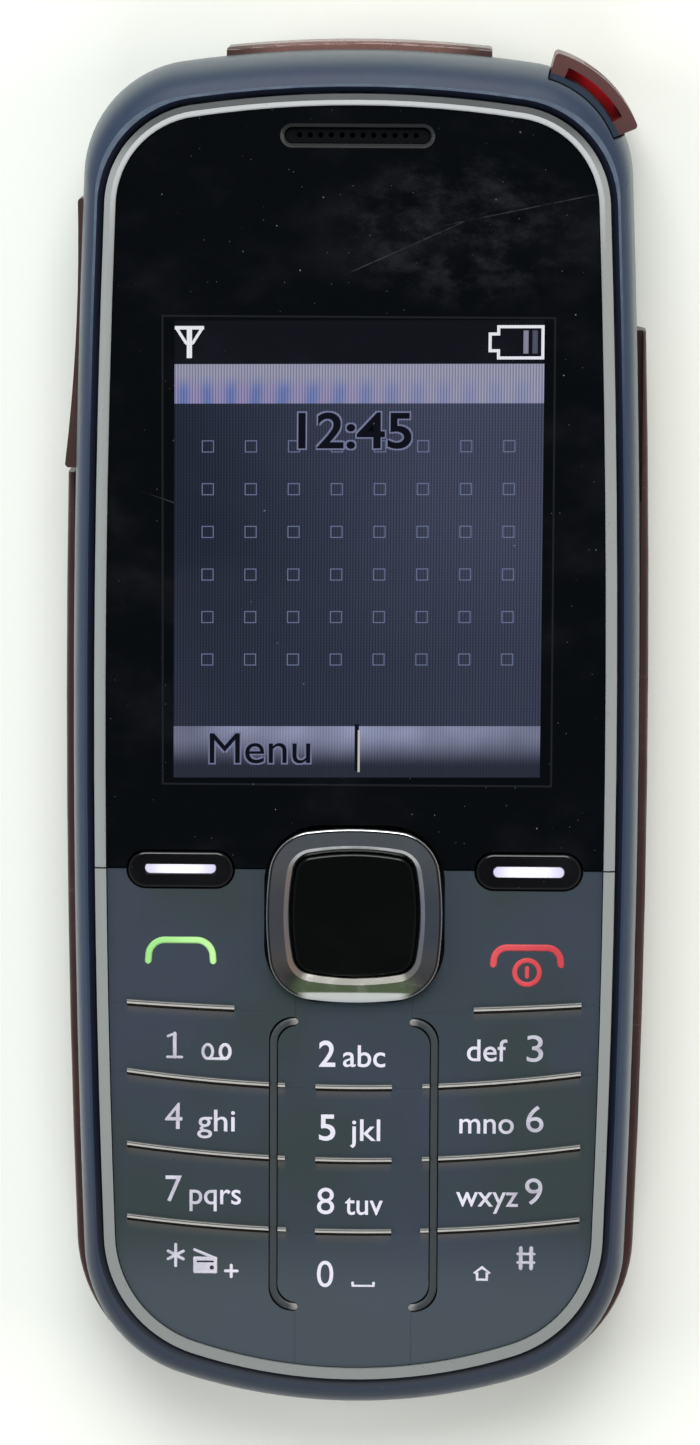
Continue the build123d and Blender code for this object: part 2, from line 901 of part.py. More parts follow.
key_names = {
    -1: ("key_call", "key_1", "key_4", "key_7", "key_star"),
    0: (None, "key_2", "key_5", "key_8", "key_0"),
    1: ("key_end", "key_3", "key_6", "key_9", "key_hash"),
}
key_places = {
    name: (row, column) for column, names in key_names.items() for row, name in enumerate(names) if name
}

for name, (row, column) in key_places.items():
    with BuildPart() as key:
        extrude(key_tile(row, column, tile_base), amount=tile_thickness)
        has_rib = row < len(row_lines)
        if has_rib:
            with BuildSketch(Plane.XY.offset(key_face)) as ribs:
                for side in (-1, 0, 1):
                    add(rib_strip(row, side, hairline / 2, hairline / 2 + rib_width, key_face))
                add(key_tile(row, column, key_face), mode=Mode.INTERSECT)
            extrude(ribs.sketch, amount=rib_height)
        under_rib = row > 0 and (column or row > 1)
        if under_rib:
            shadow_base = key_face - rib_shadow_depth
            extrude(
                rib_strip(row - 1, column, -rib_shadow - hairline / 2, 0, shadow_base),
                amount=rib_shadow_depth + overrun,
                mode=Mode.SUBTRACT,
            )
        x, y = plunger_place(row, column)
        add(rod(x, y, plunger_base, plunger_diameter, tile_base - plunger_base))
    save(key, name)


# Rubber web under the tiles

nub_places = [(0, navi_y + nub_offset), (0, navi_y - nub_offset), (nub_offset, navi_y), (-nub_offset, navi_y)]
plunger_places = [plunger_place(*place) for place in key_places.values()]
soft_places = [(-soft_x, soft_y), (soft_x, soft_y)]
navi_well = navi_half - navi_plate_inset - navi_well_ledge

with BuildPart() as keypad_web:
    with BuildSketch(Plane.XY.offset(web_base)):
        add(outline(body_sizes, web_base, -front_wall - board_gap))
        with Locations((0, web_top_y)):
            Rectangle(width, length, align=(Align.CENTER, Align.MAX), mode=Mode.INTERSECT)
        add(navi_square(navi_well, navi_radius, web_base), mode=Mode.SUBTRACT)
        with Locations(*plunger_places, *soft_places):
            Circle(web_hole / 2, mode=Mode.SUBTRACT)
        with Locations(*screw_places):
            Circle(boss_diameter / 2 + fit, mode=Mode.SUBTRACT)
    extrude(amount=web_thickness)
    bead_start = web_base + web_thickness / 2
    bead_grow = groove_bead / 2
    neck_grow = hairline / 2 * groove_bead / groove_width
    with BuildSketch(Plane.XY.offset(bead_start)) as beads:
        add(middle_column(bead_grow, neck_grow, bead_start))
        add(middle_column(-bead_grow, -neck_grow, bead_start), mode=Mode.SUBTRACT)
        with Locations((0, hook_bottom_y + bead_grow)):
            Rectangle(
                width,
                hook_top_y - hook_bottom_y - groove_bead,
                align=(Align.CENTER, Align.MIN),
                mode=Mode.INTERSECT,
            )
    extrude(beads.sketch, amount=key_face - groove_bead_drop - bead_start)
save(keypad_web, "keypad_web")


# Soft keys and their light bars

for side, name in ((-1, "left"), (1, "right")):
    with BuildPart() as soft_key:
        extrude(soft_pill(side, 0, tile_base), amount=soft_top - tile_base)
        fillet(soft_key.faces().sort_by(Axis.Z)[-1].edges(), soft_edge)
        with BuildSketch(Plane.XY.offset(soft_top - bar_depth)):
            with Locations((side * soft_x, soft_y)):
                RectangleRounded(bar_width, bar_height, bar_radius)
        extrude(amount=bar_depth + overrun, mode=Mode.SUBTRACT)
        add(rod(side * soft_x, soft_y, plunger_base, plunger_diameter, tile_base - plunger_base))
    save(soft_key, f"soft_key_{name}")

    with BuildPart() as soft_bar:
        with BuildSketch(Plane.XY.offset(soft_top - bar_depth)):
            with Locations((side * soft_x, soft_y)):
                RectangleRounded(bar_width - fit / 2, bar_height - fit / 2, bar_radius - fit / 4)
        extrude(amount=bar_depth + soft_stand)
    save(soft_bar, f"soft_bar_{name}")


# Navigation: rocking plate, chrome ring, centre key

with BuildPart() as navi_plate:
    extrude(navi_square(plate_half, navi_notch_radius - navi_plate_inset, plate_base), amount=navi_plate_thickness)
    add(rod(0, navi_y, plate_base - overrun, web_hole, 2 * overrun), mode=Mode.SUBTRACT)
    for x, y in nub_places:
        add(rod(x, y, plunger_base, nub_diameter, plate_base - plunger_base))
save(navi_plate, "navi_plate")

with BuildPart() as navi_ring:
    extrude(navi_cushion(navi_half, navi_radius, navi_base), amount=navi_depth)
    extrude(
        navi_cushion(navi_opening, navi_opening_radius, navi_base - overrun),
        amount=navi_depth + 2 * overrun,
        mode=Mode.SUBTRACT,
    )
    bands = ((0, navi_slope_drop + navi_rim_drop), (navi_rim_reach, navi_slope_drop), (navi_slope_reach, 0))
    for inner, outer in zip(bands, bands[1:]):
        loft(
            [
                navi_cushion(
                    navi_opening + reach, navi_opening_radius + reach * navi_radius_growth, thickness - drop
                ).face()
                for reach, drop in (inner, outer)
            ],
            mode=Mode.SUBTRACT,
        )
    fillet(navi_ring.faces().filter_by(Plane.XY).sort_by(Axis.Z)[-1].outer_wire().edges(), navi_lip)
save(navi_ring, "navi_ring")

with BuildPart() as navi_key:
    extrude(
        navi_cushion(navi_key_half, navi_opening_radius - navi_key_gap, navi_key_base),
        amount=navi_key_thickness,
    )
    fillet(navi_key.faces().sort_by(Axis.Z)[-1].edges(), navi_key_edge)
    add(rod(0, navi_y, plunger_base, plunger_diameter, navi_key_base - plunger_base))
save(navi_key, "navi_key")


# Circuit board and what it carries

with BuildPart() as main_board:
    extrude(outline(body_sizes, board_base, -front_wall - board_gap), amount=board_thickness)
    for x, y in screw_places:
        add(rod(x, y, board_base - overrun, screw_hole, board_thickness + 2 * overrun), mode=Mode.SUBTRACT)
    for x, body, long in ((jack_x, jack_body, jack_length), (charger_x, charger_body, charger_length)):
        notch = long + socket_tail + fit + overrun + front_wall
        add(
            block(
                x,
                socket_front + long + socket_tail + fit - notch / 2,
                board_base - overrun,
                body + 2 * fit,
                notch,
                board_thickness + 2 * overrun,
            ),
            mode=Mode.SUBTRACT,
        )
save(main_board, "main_board")

with BuildPart() as key_domes:
    for x, y in [*plunger_places, *soft_places, (0, navi_y)]:
        with Locations((x, y, board_top)):
            Cone(
                dome_diameter / 2,
                dome_diameter * dome_crown_share / 2,
                dome_height,
                align=(Align.CENTER, Align.CENTER, Align.MIN),
            )
    for x, y in nub_places:
        with Locations((x, y, board_top)):
            Cone(
                small_dome / 2,
                small_dome * dome_crown_share / 2,
                dome_height,
                align=(Align.CENTER, Align.CENTER, Align.MIN),
            )
save(key_domes, "key_domes")

with BuildPart() as key_lights:
    for side in (-1, 1):
        for row in (0, 1, 3):
            x, y = plunger_place(row, side)
            add(block(side * light_x, y, board_top, light_size, light_size, light_height))
save(key_lights, "key_lights")

for name, (wide, long, x, y) in (("shield_can_radio", radio_can), ("shield_can_logic", logic_can)):
    with BuildPart() as can:
        add(block(x, y, board_base - can_height, wide, long, can_height))
        fillet(can.edges().filter_by(Axis.Z), can_wall * 2)
        add(
            block(
                x,
                y,
                board_base - can_height + can_wall,
                wide - 2 * can_wall,
                long - 2 * can_wall,
                can_height,
            ),
            mode=Mode.SUBTRACT,
        )
    save(can, name)

with BuildPart() as board_chips:
    for wide, long, x, y in (radio_can, logic_can):
        for side, share in zip((-1, 1), chip_shares):
            add(
                block(
                    x + side * wide / 4,
                    y,
                    board_base - chip_height,
                    wide * share,
                    wide * share,
                    chip_height,
                )
            )
save(board_chips, "board_chips")

with BuildPart() as earpiece_speaker:
    add(block(0, receiver_y, board_top, receiver_width, receiver_length, receiver_height))
    fillet(earpiece_speaker.edges().filter_by(Axis.Z), receiver_length / 4)
    with BuildSketch(Plane.XY.offset(board_top + receiver_height - speaker_step)):
        with Locations((0, receiver_y)):
            SlotOverall(receiver_width - 2 * speaker_rim, receiver_length - 2 * speaker_rim)
    extrude(amount=overrun, mode=Mode.SUBTRACT)
save(earpiece_speaker, "earpiece_speaker")

with BuildPart() as microphone:
    add(rod(0, microphone_y, board_base - microphone_height, microphone_diameter, microphone_height))
save(microphone, "microphone")

with BuildPart() as side_switches:
    for direction in (-1, 1):
        y = rocker_y + direction * switch_offset
        tip = side_reach(y) - rocker_depth - switch_gap
        add(block(-tip + switch_width / 2, y, board_top, switch_width, switch_length, switch_height))
save(side_switches, "side_switches")

with BuildPart() as torch_led:
    add(block(0, led_y, board_base - led_height, led_width, led_length, led_height))
save(torch_led, "torch_led")

with BuildPart() as sim_holder:
    add(block(sim_x, sim_y, board_base - sim_height, sim_width, sim_length, sim_height))
    add(
        block(
            sim_x,
            sim_y - sim_wall,
            board_base - sim_height + sim_lip,
            sim_width - 2 * sim_wall,
            sim_length,
            sim_slot,
        ),
        mode=Mode.SUBTRACT,
    )
    add(
        block(
            sim_x,
            sim_y,
            board_base - sim_height - overrun,
            sim_width - 4 * sim_wall,
            sim_length - 4 * sim_wall,
            overrun + sim_height / 2,
        ),
        mode=Mode.SUBTRACT,
    )
save(sim_holder, "sim_holder")

with BuildPart() as battery_contacts:
    add(block(contact_x, contact_y, contact_base, contact_width, contact_depth, board_base - contact_base))
    for step in (-1, 0, 1):
        blade = bay_wall + bay_gap - fit / 2
        add(
            block(
                contact_x + step * contact_pitch,
                contact_y - contact_depth / 2 - blade / 2,
                contact_base,
                contact_blade,
                blade,
                contact_height,
            )
        )
save(battery_contacts, "battery_contacts")

with BuildPart() as battery:
    add(block(0, battery_y, battery_base, battery_width, battery_length, battery_thickness))
    fillet(battery.edges().filter_by(Axis.Z), battery_edge)
    fillet(battery.edges().filter_by(Axis.Y), battery_edge)
save(battery, "battery")


# Sockets in the bottom end

for name, x, body, bore, long in (
    ("headset_socket", jack_x, jack_body, jack_bore, jack_length),
    ("charger_socket", charger_x, charger_body, charger_bore, charger_length),
):
    with BuildPart() as socket:
        add(
            block(
                x,
                socket_front + (long + socket_tail) / 2,
                socket_z - body / 2,
                body,
                long + socket_tail,
                body,
            )
        )
        add(bar_along_y(x, socket_mouth, socket_z, bore + 2 * socket_nose, nose_length + overrun))
        add(
            bar_along_y(x, socket_mouth - overrun, socket_z, bore, overrun + nose_length + long),
            mode=Mode.SUBTRACT,
        )
    save(socket, name)


# Chassis: board tray above, battery bay below

with BuildPart() as chassis:
    extrude(outline(body_sizes, tray_start, -front_wall - fit), amount=board_base - tray_start)
    extrude(
        outline(body_sizes, floor_top, -front_wall - fit - chassis_rim), amount=floor_gap, mode=Mode.SUBTRACT
    )
    add(
        block(
            0,
            battery_y,
            bay_start,
            bay_width + 2 * bay_wall,
            bay_length + 2 * bay_wall,
            floor_top - bay_start,
        )
    )
    add(
        block(0, battery_y, bay_start - overrun, bay_width, bay_length, floor_base - bay_start + overrun),
        mode=Mode.SUBTRACT,
    )
    add(
        block(
            contact_x,
            contact_y - bay_wall / 2 - bay_gap / 2,
            bay_start - overrun,
            contact_width + 2 * fit,
            contact_depth + bay_wall + bay_gap + 2 * fit,
            thickness,
        ),
        mode=Mode.SUBTRACT,
    )
    add(
        block(
            sim_x,
            sim_y,
            floor_base - overrun,
            sim_width - 2 * sim_wall,
            sim_length - 2 * sim_wall,
            floor_thickness + 2 * overrun,
        ),
        mode=Mode.SUBTRACT,
    )
    for x, y in screw_places:
        add(rod(x, y, floor_base - overrun, screw_hole, floor_thickness + 2 * overrun), mode=Mode.SUBTRACT)
    for x, body, long in ((jack_x, jack_body, jack_length), (charger_x, charger_body, charger_length)):
        notch = long + socket_tail + fit + overrun + front_wall
        add(
            block(
                x,
                socket_front + long + socket_tail + fit - notch / 2,
                socket_z - body / 2 - fit,
                body + 2 * fit,
                notch,
                thickness,
            ),
            mode=Mode.SUBTRACT,
        )
    add(bar_along_y(0, wall_y, microphone_z, microphone_hole, wall_reach), mode=Mode.SUBTRACT)
    add(
        block(
            0,
            body_top - front_wall - chassis_rim / 2,
            lens_top - lens_stem_height - fit,
            lens_stem_width + 2 * fit,
            2 * chassis_rim,
            thickness,
        ),
        mode=Mode.SUBTRACT,
    )
save(chassis, "chassis")


# Rear shells: a fixed upper piece and a cover that slides off the lower end

lowest_inset = shoulder_shares[0][1]
rear_sizes = (
    body_half - side_shoulder * lowest_inset,
    body_top - top_shoulder * lowest_inset,
    body_bottom + bottom_shoulder * lowest_inset,
    top_radius,
    bottom_radius,
)

with BuildPart() as upper_cavity:
    extrude(outline(rear_sizes, cover_floor, -rear_wall), amount=parting)
    fillet(upper_cavity.faces().sort_by(Axis.Z)[0].edges(), back_radius - rear_wall)

with BuildPart() as back_upper:
    extrude(outline(rear_sizes), amount=parting)
    fillet(back_upper.faces().sort_by(Axis.Z)[0].edges(), back_radius)
    add(upper_cavity.part, mode=Mode.SUBTRACT)
    with Locations((0, cover_seam_y)):
        Box(
            2 * width,
            2 * length,
            2 * thickness,
            align=(Align.CENTER, Align.MAX, Align.CENTER),
            mode=Mode.SUBTRACT,
        )
    with BuildSketch():
        with Locations((speaker_x, speaker_y)):
            with GridLocations(grille_pitch_x, grille_pitch_y, grille_columns, grille_rows):
                SlotOverall(grille_length, grille_slot)
    extrude(amount=cover_floor + overrun, mode=Mode.SUBTRACT)
    extrude(lens_strip(fit, lens_base - fit), amount=parting, mode=Mode.SUBTRACT)
    extrude(
        corner_band(
            eyelet_inner - fit,
            eyelet_outer + overrun,
            eyelet_start_angle - eyelet_slack_angle,
            eyelet_end_angle + eyelet_slack_angle,
            eyelet_base - fit,
        ),
        amount=thickness,
        mode=Mode.SUBTRACT,
    )
save(back_upper, "back_upper")


def sliding_room(grow, height):
    """The outline below the widest place and straight sides above it, so that the cover can slide."""
    with BuildSketch(Plane.XY.offset(height)) as room:
        add(outline(body_sizes, height, grow))
        with Locations((0, widest_y)):
            Rectangle(2 * (body_half + grow), length, align=(Align.CENTER, Align.MIN))
    return room.sketch


with BuildPart() as cover_cavity:
    extrude(sliding_room(-cover_inner_side, cover_floor), amount=thickness)
    fillet(cover_cavity.faces().sort_by(Axis.Z)[0].edges(), back_radius - rear_wall)

with BuildPart() as rear_cover:
    extrude(outline(body_sizes, 0, rail_stand), amount=rail_top)
    fillet(rear_cover.faces().sort_by(Axis.Z)[0].edges(), back_radius)
    fillet(rear_cover.faces().sort_by(Axis.Z)[-1].edges(), rail_edge)
    add(cover_cavity.part, mode=Mode.SUBTRACT)
    extrude(sliding_room(fit, parting - fit), amount=thickness, mode=Mode.SUBTRACT)
    with Locations((0, cover_seam_y - fit)):
        Box(
            2 * width,
            2 * length,
            2 * thickness,
            align=(Align.CENTER, Align.MIN, Align.CENTER),
            mode=Mode.SUBTRACT,
        )
    with Locations((-body_half + fit, left_rail_end_y)):
        Box(width, length, 2 * thickness, align=(Align.MAX, Align.MIN, Align.CENTER), mode=Mode.SUBTRACT)
    for side in (-1, 1):
        add(
            block(
                side * (body_half + 2 * fit - bead_depth / 2),
                (bead_top_y + bead_bottom_y) / 2,
                bead_base,
                bead_depth + 2 * fit,
                bead_top_y - bead_bottom_y,
                bead_height,
            )
        )
    with BuildSketch():
        with Locations((0, grip_y)):
            with GridLocations(0, grip_pitch, 1, grip_rows):
                SlotOverall(grip_width, grip_height)
    extrude(amount=grip_depth, mode=Mode.SUBTRACT)
save(rear_cover, "rear_cover")


# Volume rocker in the left side

with BuildPart() as volume_rocker:
    upper_y = rocker_y + rocker_length / 2
    lower_y = rocker_y - rocker_length / 2
    spots = [
        ((-side_reach(y) - stand, y), (-side_reach(y) + rocker_depth, y))
        for y, stand in (
            (upper_y, rocker_top_stand),
            (rocker_y, rocker_middle_stand),
            (lower_y, rocker_low_stand),
        )
    ]
    outer, inner = zip(*spots)
    with BuildSketch(Plane.XY.offset(rocker_z - rocker_height / 2)):
        with BuildLine():
            ThreePointArc(*outer)
            Line(outer[2], inner[2])
            ThreePointArc(*reversed(inner))
            Line(inner[0], outer[0])
        make_face()
    extrude(amount=rocker_height)
    fillet(volume_rocker.edges().filter_by(Axis.Z), rocker_edge)
save(volume_rocker, "volume_rocker")


# Torch lens across the top end, and the strap eyelet in the corner

with BuildPart() as torch_lens:
    extrude(lens_strip(0, lens_base), amount=lens_top - lens_base)
    fillet(torch_lens.faces().sort_by(Axis.Y)[-1].edges(), lens_edge)
    stem_end = led_y + led_length / 2 + fit
    stem_start = body_top - lens_depth
    add(
        block(
            0,
            (stem_end + stem_start + overrun / 2) / 2,
            lens_top - lens_stem_height,
            lens_stem_width,
            stem_start + overrun / 2 - stem_end,
            lens_stem_height,
        )
    )
save(torch_lens, "torch_lens")

with BuildPart() as strap_eyelet:
    extrude(
        corner_band(eyelet_inner, eyelet_outer, eyelet_start_angle, eyelet_end_angle, eyelet_base),
        amount=eyelet_top - eyelet_base,
    )
    far_edges = strap_eyelet.edges().filter_by(Axis.Z).sort_by_distance((eyelet_x, eyelet_y, 0))[-2:]
    fillet(far_edges, eyelet_edge)
    extrude(
        corner_band(
            eyelet_slot_inner,
            eyelet_slot_outer,
            eyelet_start_angle + eyelet_slot_angle,
            eyelet_end_angle - eyelet_slot_angle,
            eyelet_base + eyelet_slot_floor,
        ),
        amount=thickness,
        mode=Mode.SUBTRACT,
    )
    # side window through which a strap leaves the slot
    extrude(
        corner_band(
            eyelet_slot_inner,
            eyelet_outer + overrun,
            eyelet_start_angle + eyelet_window_angle,
            eyelet_end_angle - eyelet_window_angle,
            eyelet_base + eyelet_slot_floor,
        ),
        amount=eyelet_window_height,
        mode=Mode.SUBTRACT,
    )
save(strap_eyelet, "strap_eyelet")


# Loudspeaker, vibration motor with its weight, and the antenna

with BuildPart() as loudspeaker:
    add(rod(speaker_x, speaker_y, cover_floor, speaker_diameter, speaker_height))
    add(
        rod(
            speaker_x,
            speaker_y,
            cover_floor - overrun,
            speaker_diameter - 2 * speaker_rim,
            overrun + speaker_step,
        ),
        mode=Mode.SUBTRACT,
    )
save(loudspeaker, "loudspeaker")

weight_start = motor_end + weight_gap

with BuildPart() as vibra_motor:
    with Locations(Location((motor_x, motor_y, motor_z), (0, 90, 0))):
        Cylinder(motor_diameter / 2, motor_length)
    with Locations(Location((motor_end, motor_y, motor_z), (0, 90, 0))):
        Cylinder(shaft_diameter / 2 + shaft_gap, 2 * (shaft_grip + fit), mode=Mode.SUBTRACT)
save(vibra_motor, "vibra_motor")

with BuildPart() as vibra_weight:
    with Locations(Location((weight_start, motor_y, motor_z), (0, 90, 0))):
        Cylinder(weight_diameter / 2, weight_length, align=(Align.CENTER, Align.CENTER, Align.MIN))
    with Locations((weight_start, motor_y, motor_z + shaft_diameter / 2 + shaft_collar)):
        Box(
            3 * weight_length,
            2 * weight_diameter,
            weight_diameter,
            align=(Align.CENTER, Align.CENTER, Align.MIN),
            mode=Mode.SUBTRACT,
        )
    shaft_start = motor_end - shaft_grip
    with Locations(Location((shaft_start, motor_y, motor_z), (0, 90, 0))):
        Cylinder(
            shaft_diameter / 2,
            weight_start + weight_length - shaft_start,
            align=(Align.CENTER, Align.CENTER, Align.MIN),
        )
save(vibra_weight, "vibra_weight")

with BuildPart() as antenna_carrier:
    add(block(carrier_x, carrier_y, carrier_base, carrier_width, carrier_length, carrier_height))
    fillet(antenna_carrier.edges().filter_by(Axis.Z), carrier_edge)
    add(
        block(
            carrier_x,
            carrier_y,
            carrier_base + carrier_wall,
            carrier_width - 2 * carrier_wall,
            carrier_length - 2 * carrier_wall,
            carrier_height,
        ),
        mode=Mode.SUBTRACT,
    )
save(antenna_carrier, "antenna_carrier")

with BuildPart() as antenna_foil:
    patch_width = carrier_width - 2 * carrier_edge
    patch_length = carrier_length - 2 * carrier_edge
    foil_base = carrier_base - foil_thickness
    add(block(carrier_x, carrier_y, foil_base, patch_width, patch_length, foil_thickness))
    add(
        block(
            carrier_x + foil_width,
            carrier_y,
            foil_base - overrun,
            patch_width,
            patch_length - 2 * foil_width,
            foil_thickness + 2 * overrun,
        ),
        mode=Mode.SUBTRACT,
    )
save(antenna_foil, "antenna_foil")


# Four screws from the chassis up into the front cover's bosses

with BuildPart() as screws:
    for x, y in screw_places:
        add(rod(x, y, tray_start - screw_head_height, screw_head, screw_head_height))
        add(rod(x, y, tray_start, screw_diameter, flange_base - screw_tip - tray_start))
        socket_start = tray_start - screw_head_height - overrun
        add(rod(x, y, socket_start, screw_socket, overrun + screw_head_height / 2), mode=Mode.SUBTRACT)
save(screws, "screws")
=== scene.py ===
"""A candybar feature phone: finishes for its CAD nodes, printed legends, a lit display and a pale stage.

Lengths in this file are millimetres until they reach a mesh or the camera. The lamps' are metres.
"""

import math

import bmesh
import bpy
from mathutils import Matrix, Vector


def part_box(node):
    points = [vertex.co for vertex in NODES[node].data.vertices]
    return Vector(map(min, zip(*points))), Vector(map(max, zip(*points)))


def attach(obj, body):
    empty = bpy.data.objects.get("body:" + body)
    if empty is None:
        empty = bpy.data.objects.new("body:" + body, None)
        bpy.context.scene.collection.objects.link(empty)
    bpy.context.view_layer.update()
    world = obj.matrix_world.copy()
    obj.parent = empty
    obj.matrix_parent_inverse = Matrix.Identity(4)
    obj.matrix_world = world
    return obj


bl_info = {
    "name": "Feature Phone Studio",
    "version": (1, 0, 0),
    "blender": (4, 5, 0),
    "location": "3D View > Sidebar > Phone",
    "description": "Finishes, legends, display and stage for a candybar phone",
    "category": "Object",
}

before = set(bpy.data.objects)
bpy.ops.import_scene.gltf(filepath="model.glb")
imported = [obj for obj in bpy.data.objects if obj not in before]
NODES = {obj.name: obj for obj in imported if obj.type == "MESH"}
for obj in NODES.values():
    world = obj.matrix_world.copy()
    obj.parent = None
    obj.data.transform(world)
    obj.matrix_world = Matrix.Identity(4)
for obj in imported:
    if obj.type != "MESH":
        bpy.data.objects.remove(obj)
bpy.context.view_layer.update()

MM = 0.001
SINK = 0.01  # how far a printed piece reaches into what it is printed on
PRINT = 0.012  # how far it stands above it


def height(node):
    """The top of a CAD node."""
    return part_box(node)[1].z / MM


CREST = height("front_cover")
WINDOW_TOP = height("display_window")
KEY_FACE = height("key_call") - 0.2  # the ribs stand 0.2 above the keys' faces


def srgb(red, green, blue):
    """A colour as it is seen on a screen, turned into the linear values that shaders take."""
    return tuple(
        share / 12.92 if share <= 0.04045 else ((share + 0.055) / 1.055) ** 2.4
        for share in (red / 255, green / 255, blue / 255)
    )


# Shader maths


class Field:
    """A value on a surface, so that shader sums read as Python."""

    def __init__(self, finish, socket):
        self.finish = finish
        self.socket = socket

    def math(self, operation, left, right=0.0):
        return self.finish.node("ShaderNodeMath", {"operation": operation}, {0: left, 1: right})

    def __add__(self, other):
        return self.math("ADD", self, other)

    def __sub__(self, other):
        return self.math("SUBTRACT", self, other)

    def __rsub__(self, other):
        return self.math("SUBTRACT", other, self)

    def __mul__(self, other):
        return self.math("MULTIPLY", self, other)

    def __truediv__(self, other):
        return self.math("DIVIDE", self, other)

    def __abs__(self):
        return self.math("ABSOLUTE", self)

    def __gt__(self, other):
        return self.math("GREATER_THAN", self, other)

    def __lt__(self, other):
        return self.math("LESS_THAN", self, other)

    __radd__ = __add__
    __rmul__ = __mul__

    def power(self, exponent):
        return self.math("POWER", self, exponent)

    def wave(self, pitch):
        """From 0 to 1 and back, once each pitch."""
        return self.math("SINE", self * (2 * math.pi / pitch)) * 0.5 + 0.5

    def either(self, other):
        return self.math("MAXIMUM", self, other)


class Nodes:
    """A node tree while it is being made."""

    def __init__(self, tree):
        self.tree = tree

    def node(self, kind, settings=(), sockets=(), output=0):
        """Any shader node: its settings go in first, then the values or links of its sockets."""
        node = self.tree.nodes.new(kind)
        for name, value in dict(settings).items():
            if name == "stops":
                self.set_stops(node.color_ramp.elements, value)
            else:
                setattr(node, name, value)
        for name, value in dict(sockets).items():
            self.feed(node.inputs[name], value)
        return Field(self, node.outputs[output])

    def set_stops(self, ramp, stops):
        """A colour ramp's stops, from low to high."""
        ramp.remove(ramp[1])
        (ramp[0].position, first), *others = stops
        ramp[0].color = (*first, 1)
        for position, colour in others:
            ramp.new(position).color = (*colour, 1)

    def feed(self, socket, value):
        """Links a value to a socket, or sets the socket to a plain number or colour."""
        if isinstance(value, Field):
            self.tree.links.new(value.socket, socket)
        elif socket.type == "RGBA":
            socket.default_value = (*value, 1)
        else:
            socket.default_value = value

    def split(self, vector):
        """The three numbers of a vector."""
        numbers = self.node("ShaderNodeSeparateXYZ", {}, {0: vector}).socket.node.outputs
        return [Field(self, number) for number in numbers]

    def step(self, value, low, high):
        """0 below low and 1 above high, smooth between, or the other way round."""
        sockets = {"Value": value, "From Min": low, "From Max": high}
        return self.node("ShaderNodeMapRange", {"interpolation_type": "SMOOTHSTEP"}, sockets)

    def within(self, value, low, high, soft):
        """1 between low and high."""
        return self.step(value, low - soft, low + soft) * self.step(value, high + soft, high - soft)

    def mix(self, factor, first, second, blend="MIX"):
        """Two colours mixed."""
        settings = {"data_type": "RGBA", "blend_type": blend, "clamp_factor": True}
        return self.node("ShaderNodeMix", settings, {0: factor, 6: first, 7: second}, 2)

    def tint(self, colour, *layers):
        """A colour with others laid over it in order, each by its share."""
        for share, layer in layers:
            colour = self.mix(share, colour, layer)
        return colour


class Finish(Nodes):
    """A material while its nodes are being made. Its places are in millimetres."""

    def __init__(self, name, **uniform):
        self.material = bpy.data.materials.new(name)
        self.material.use_nodes = True
        super().__init__(self.material.node_tree)
        self.shader = self.tree.nodes["Principled BSDF"]
        for socket, value in uniform.items():
            self.shader.inputs[socket.replace("_", " ")].default_value = value
        metres = self.node("ShaderNodeTexCoord", output="Object")
        sockets = {"Vector": metres, "Scale": 1 / MM}
        self.place = self.node("ShaderNodeVectorMath", {"operation": "SCALE"}, sockets)
        self.x, self.y, self.z = self.split(self.place)

    def turned(self, turn=(0, 0, 0), stretch=(1, 1, 1), shift=(0, 0, 0)):
        """The place, shifted, turned and stretched for a pattern."""
        sockets = {"Vector": self.place, "Location": shift, "Rotation": turn, "Scale": stretch}
        return self.node("ShaderNodeMapping", {}, sockets)

    def noise(self, scale, detail=2.0, rough=0.5, place=None):
        """Soft mottling, scale times a millimetre."""
        sockets = {"Vector": place or self.place, "Scale": scale, "Detail": detail, "Roughness": rough}
        return self.node("ShaderNodeTexNoise", {}, sockets)

    def specks(self, scale, size, share):
        """Round specks: cells per millimetre, size in cells, and the share of cells that hold one."""
        sockets = {"Vector": self.place, "Scale": scale}
        near = self.node("ShaderNodeTexVoronoi", {}, sockets, "Distance")
        pick = self.node("ShaderNodeTexVoronoi", {}, sockets, "Color")
        chance = self.node("ShaderNodeSeparateColor", {}, {0: pick})
        return self.step(near, size, size * 0.4) * (chance < share)

    def shade(self, colour, amount, deep=0.75):
        """A colour darkened by an amount from 0 to 1, where 1 leaves deep times the colour."""
        return self.mix(amount, colour, (deep, deep, deep), "MULTIPLY")

    def bump(self, value, depth):
        """A relief of that depth in millimetres, on the shader's normal."""
        relief = self.node("ShaderNodeBump", {}, {"Height": value, "Distance": depth * MM})
        self.feed(self.shader.inputs["Normal"], relief)

    def outward(self):
        """How far the surface looks away from the phone's middle line: below 0 it looks inward."""
        normal = self.node("ShaderNodeTexCoord", output="Normal")
        sockets = {0: self.place, 1: (1.0, 1.0, 0.0)}
        flat = self.node("ShaderNodeVectorMath", {"operation": "MULTIPLY"}, sockets)
        sockets = {0: normal, 1: flat}
        return self.node("ShaderNodeVectorMath", {"operation": "DOT_PRODUCT"}, sockets, "Value")

    def done(self, colour, roughness=None, **more):
        """Feeds what varies over the surface and returns the material."""
        self.feed(self.shader.inputs["Base Color"], colour)
        if roughness is not None:
            self.feed(self.shader.inputs["Roughness"], roughness)
        for name, value in more.items():
            self.feed(self.shader.inputs[name.replace("_", " ")], value)
        return self.material


# Finishes that several pieces share


def moulded(name, colour, roughness, grain=0.006):
    """Moulded plastic: a fine grain, faint mottling and slightly uneven gloss."""
    finish = Finish(name)
    clouds = finish.noise(0.35, 3)
    fine = finish.noise(7, 2)
    finish.bump(fine, grain)
    tone = finish.shade(colour, clouds * 0.2 + fine * 0.1)
    return finish.done(tone, roughness + (clouds - 0.5) * 0.16)


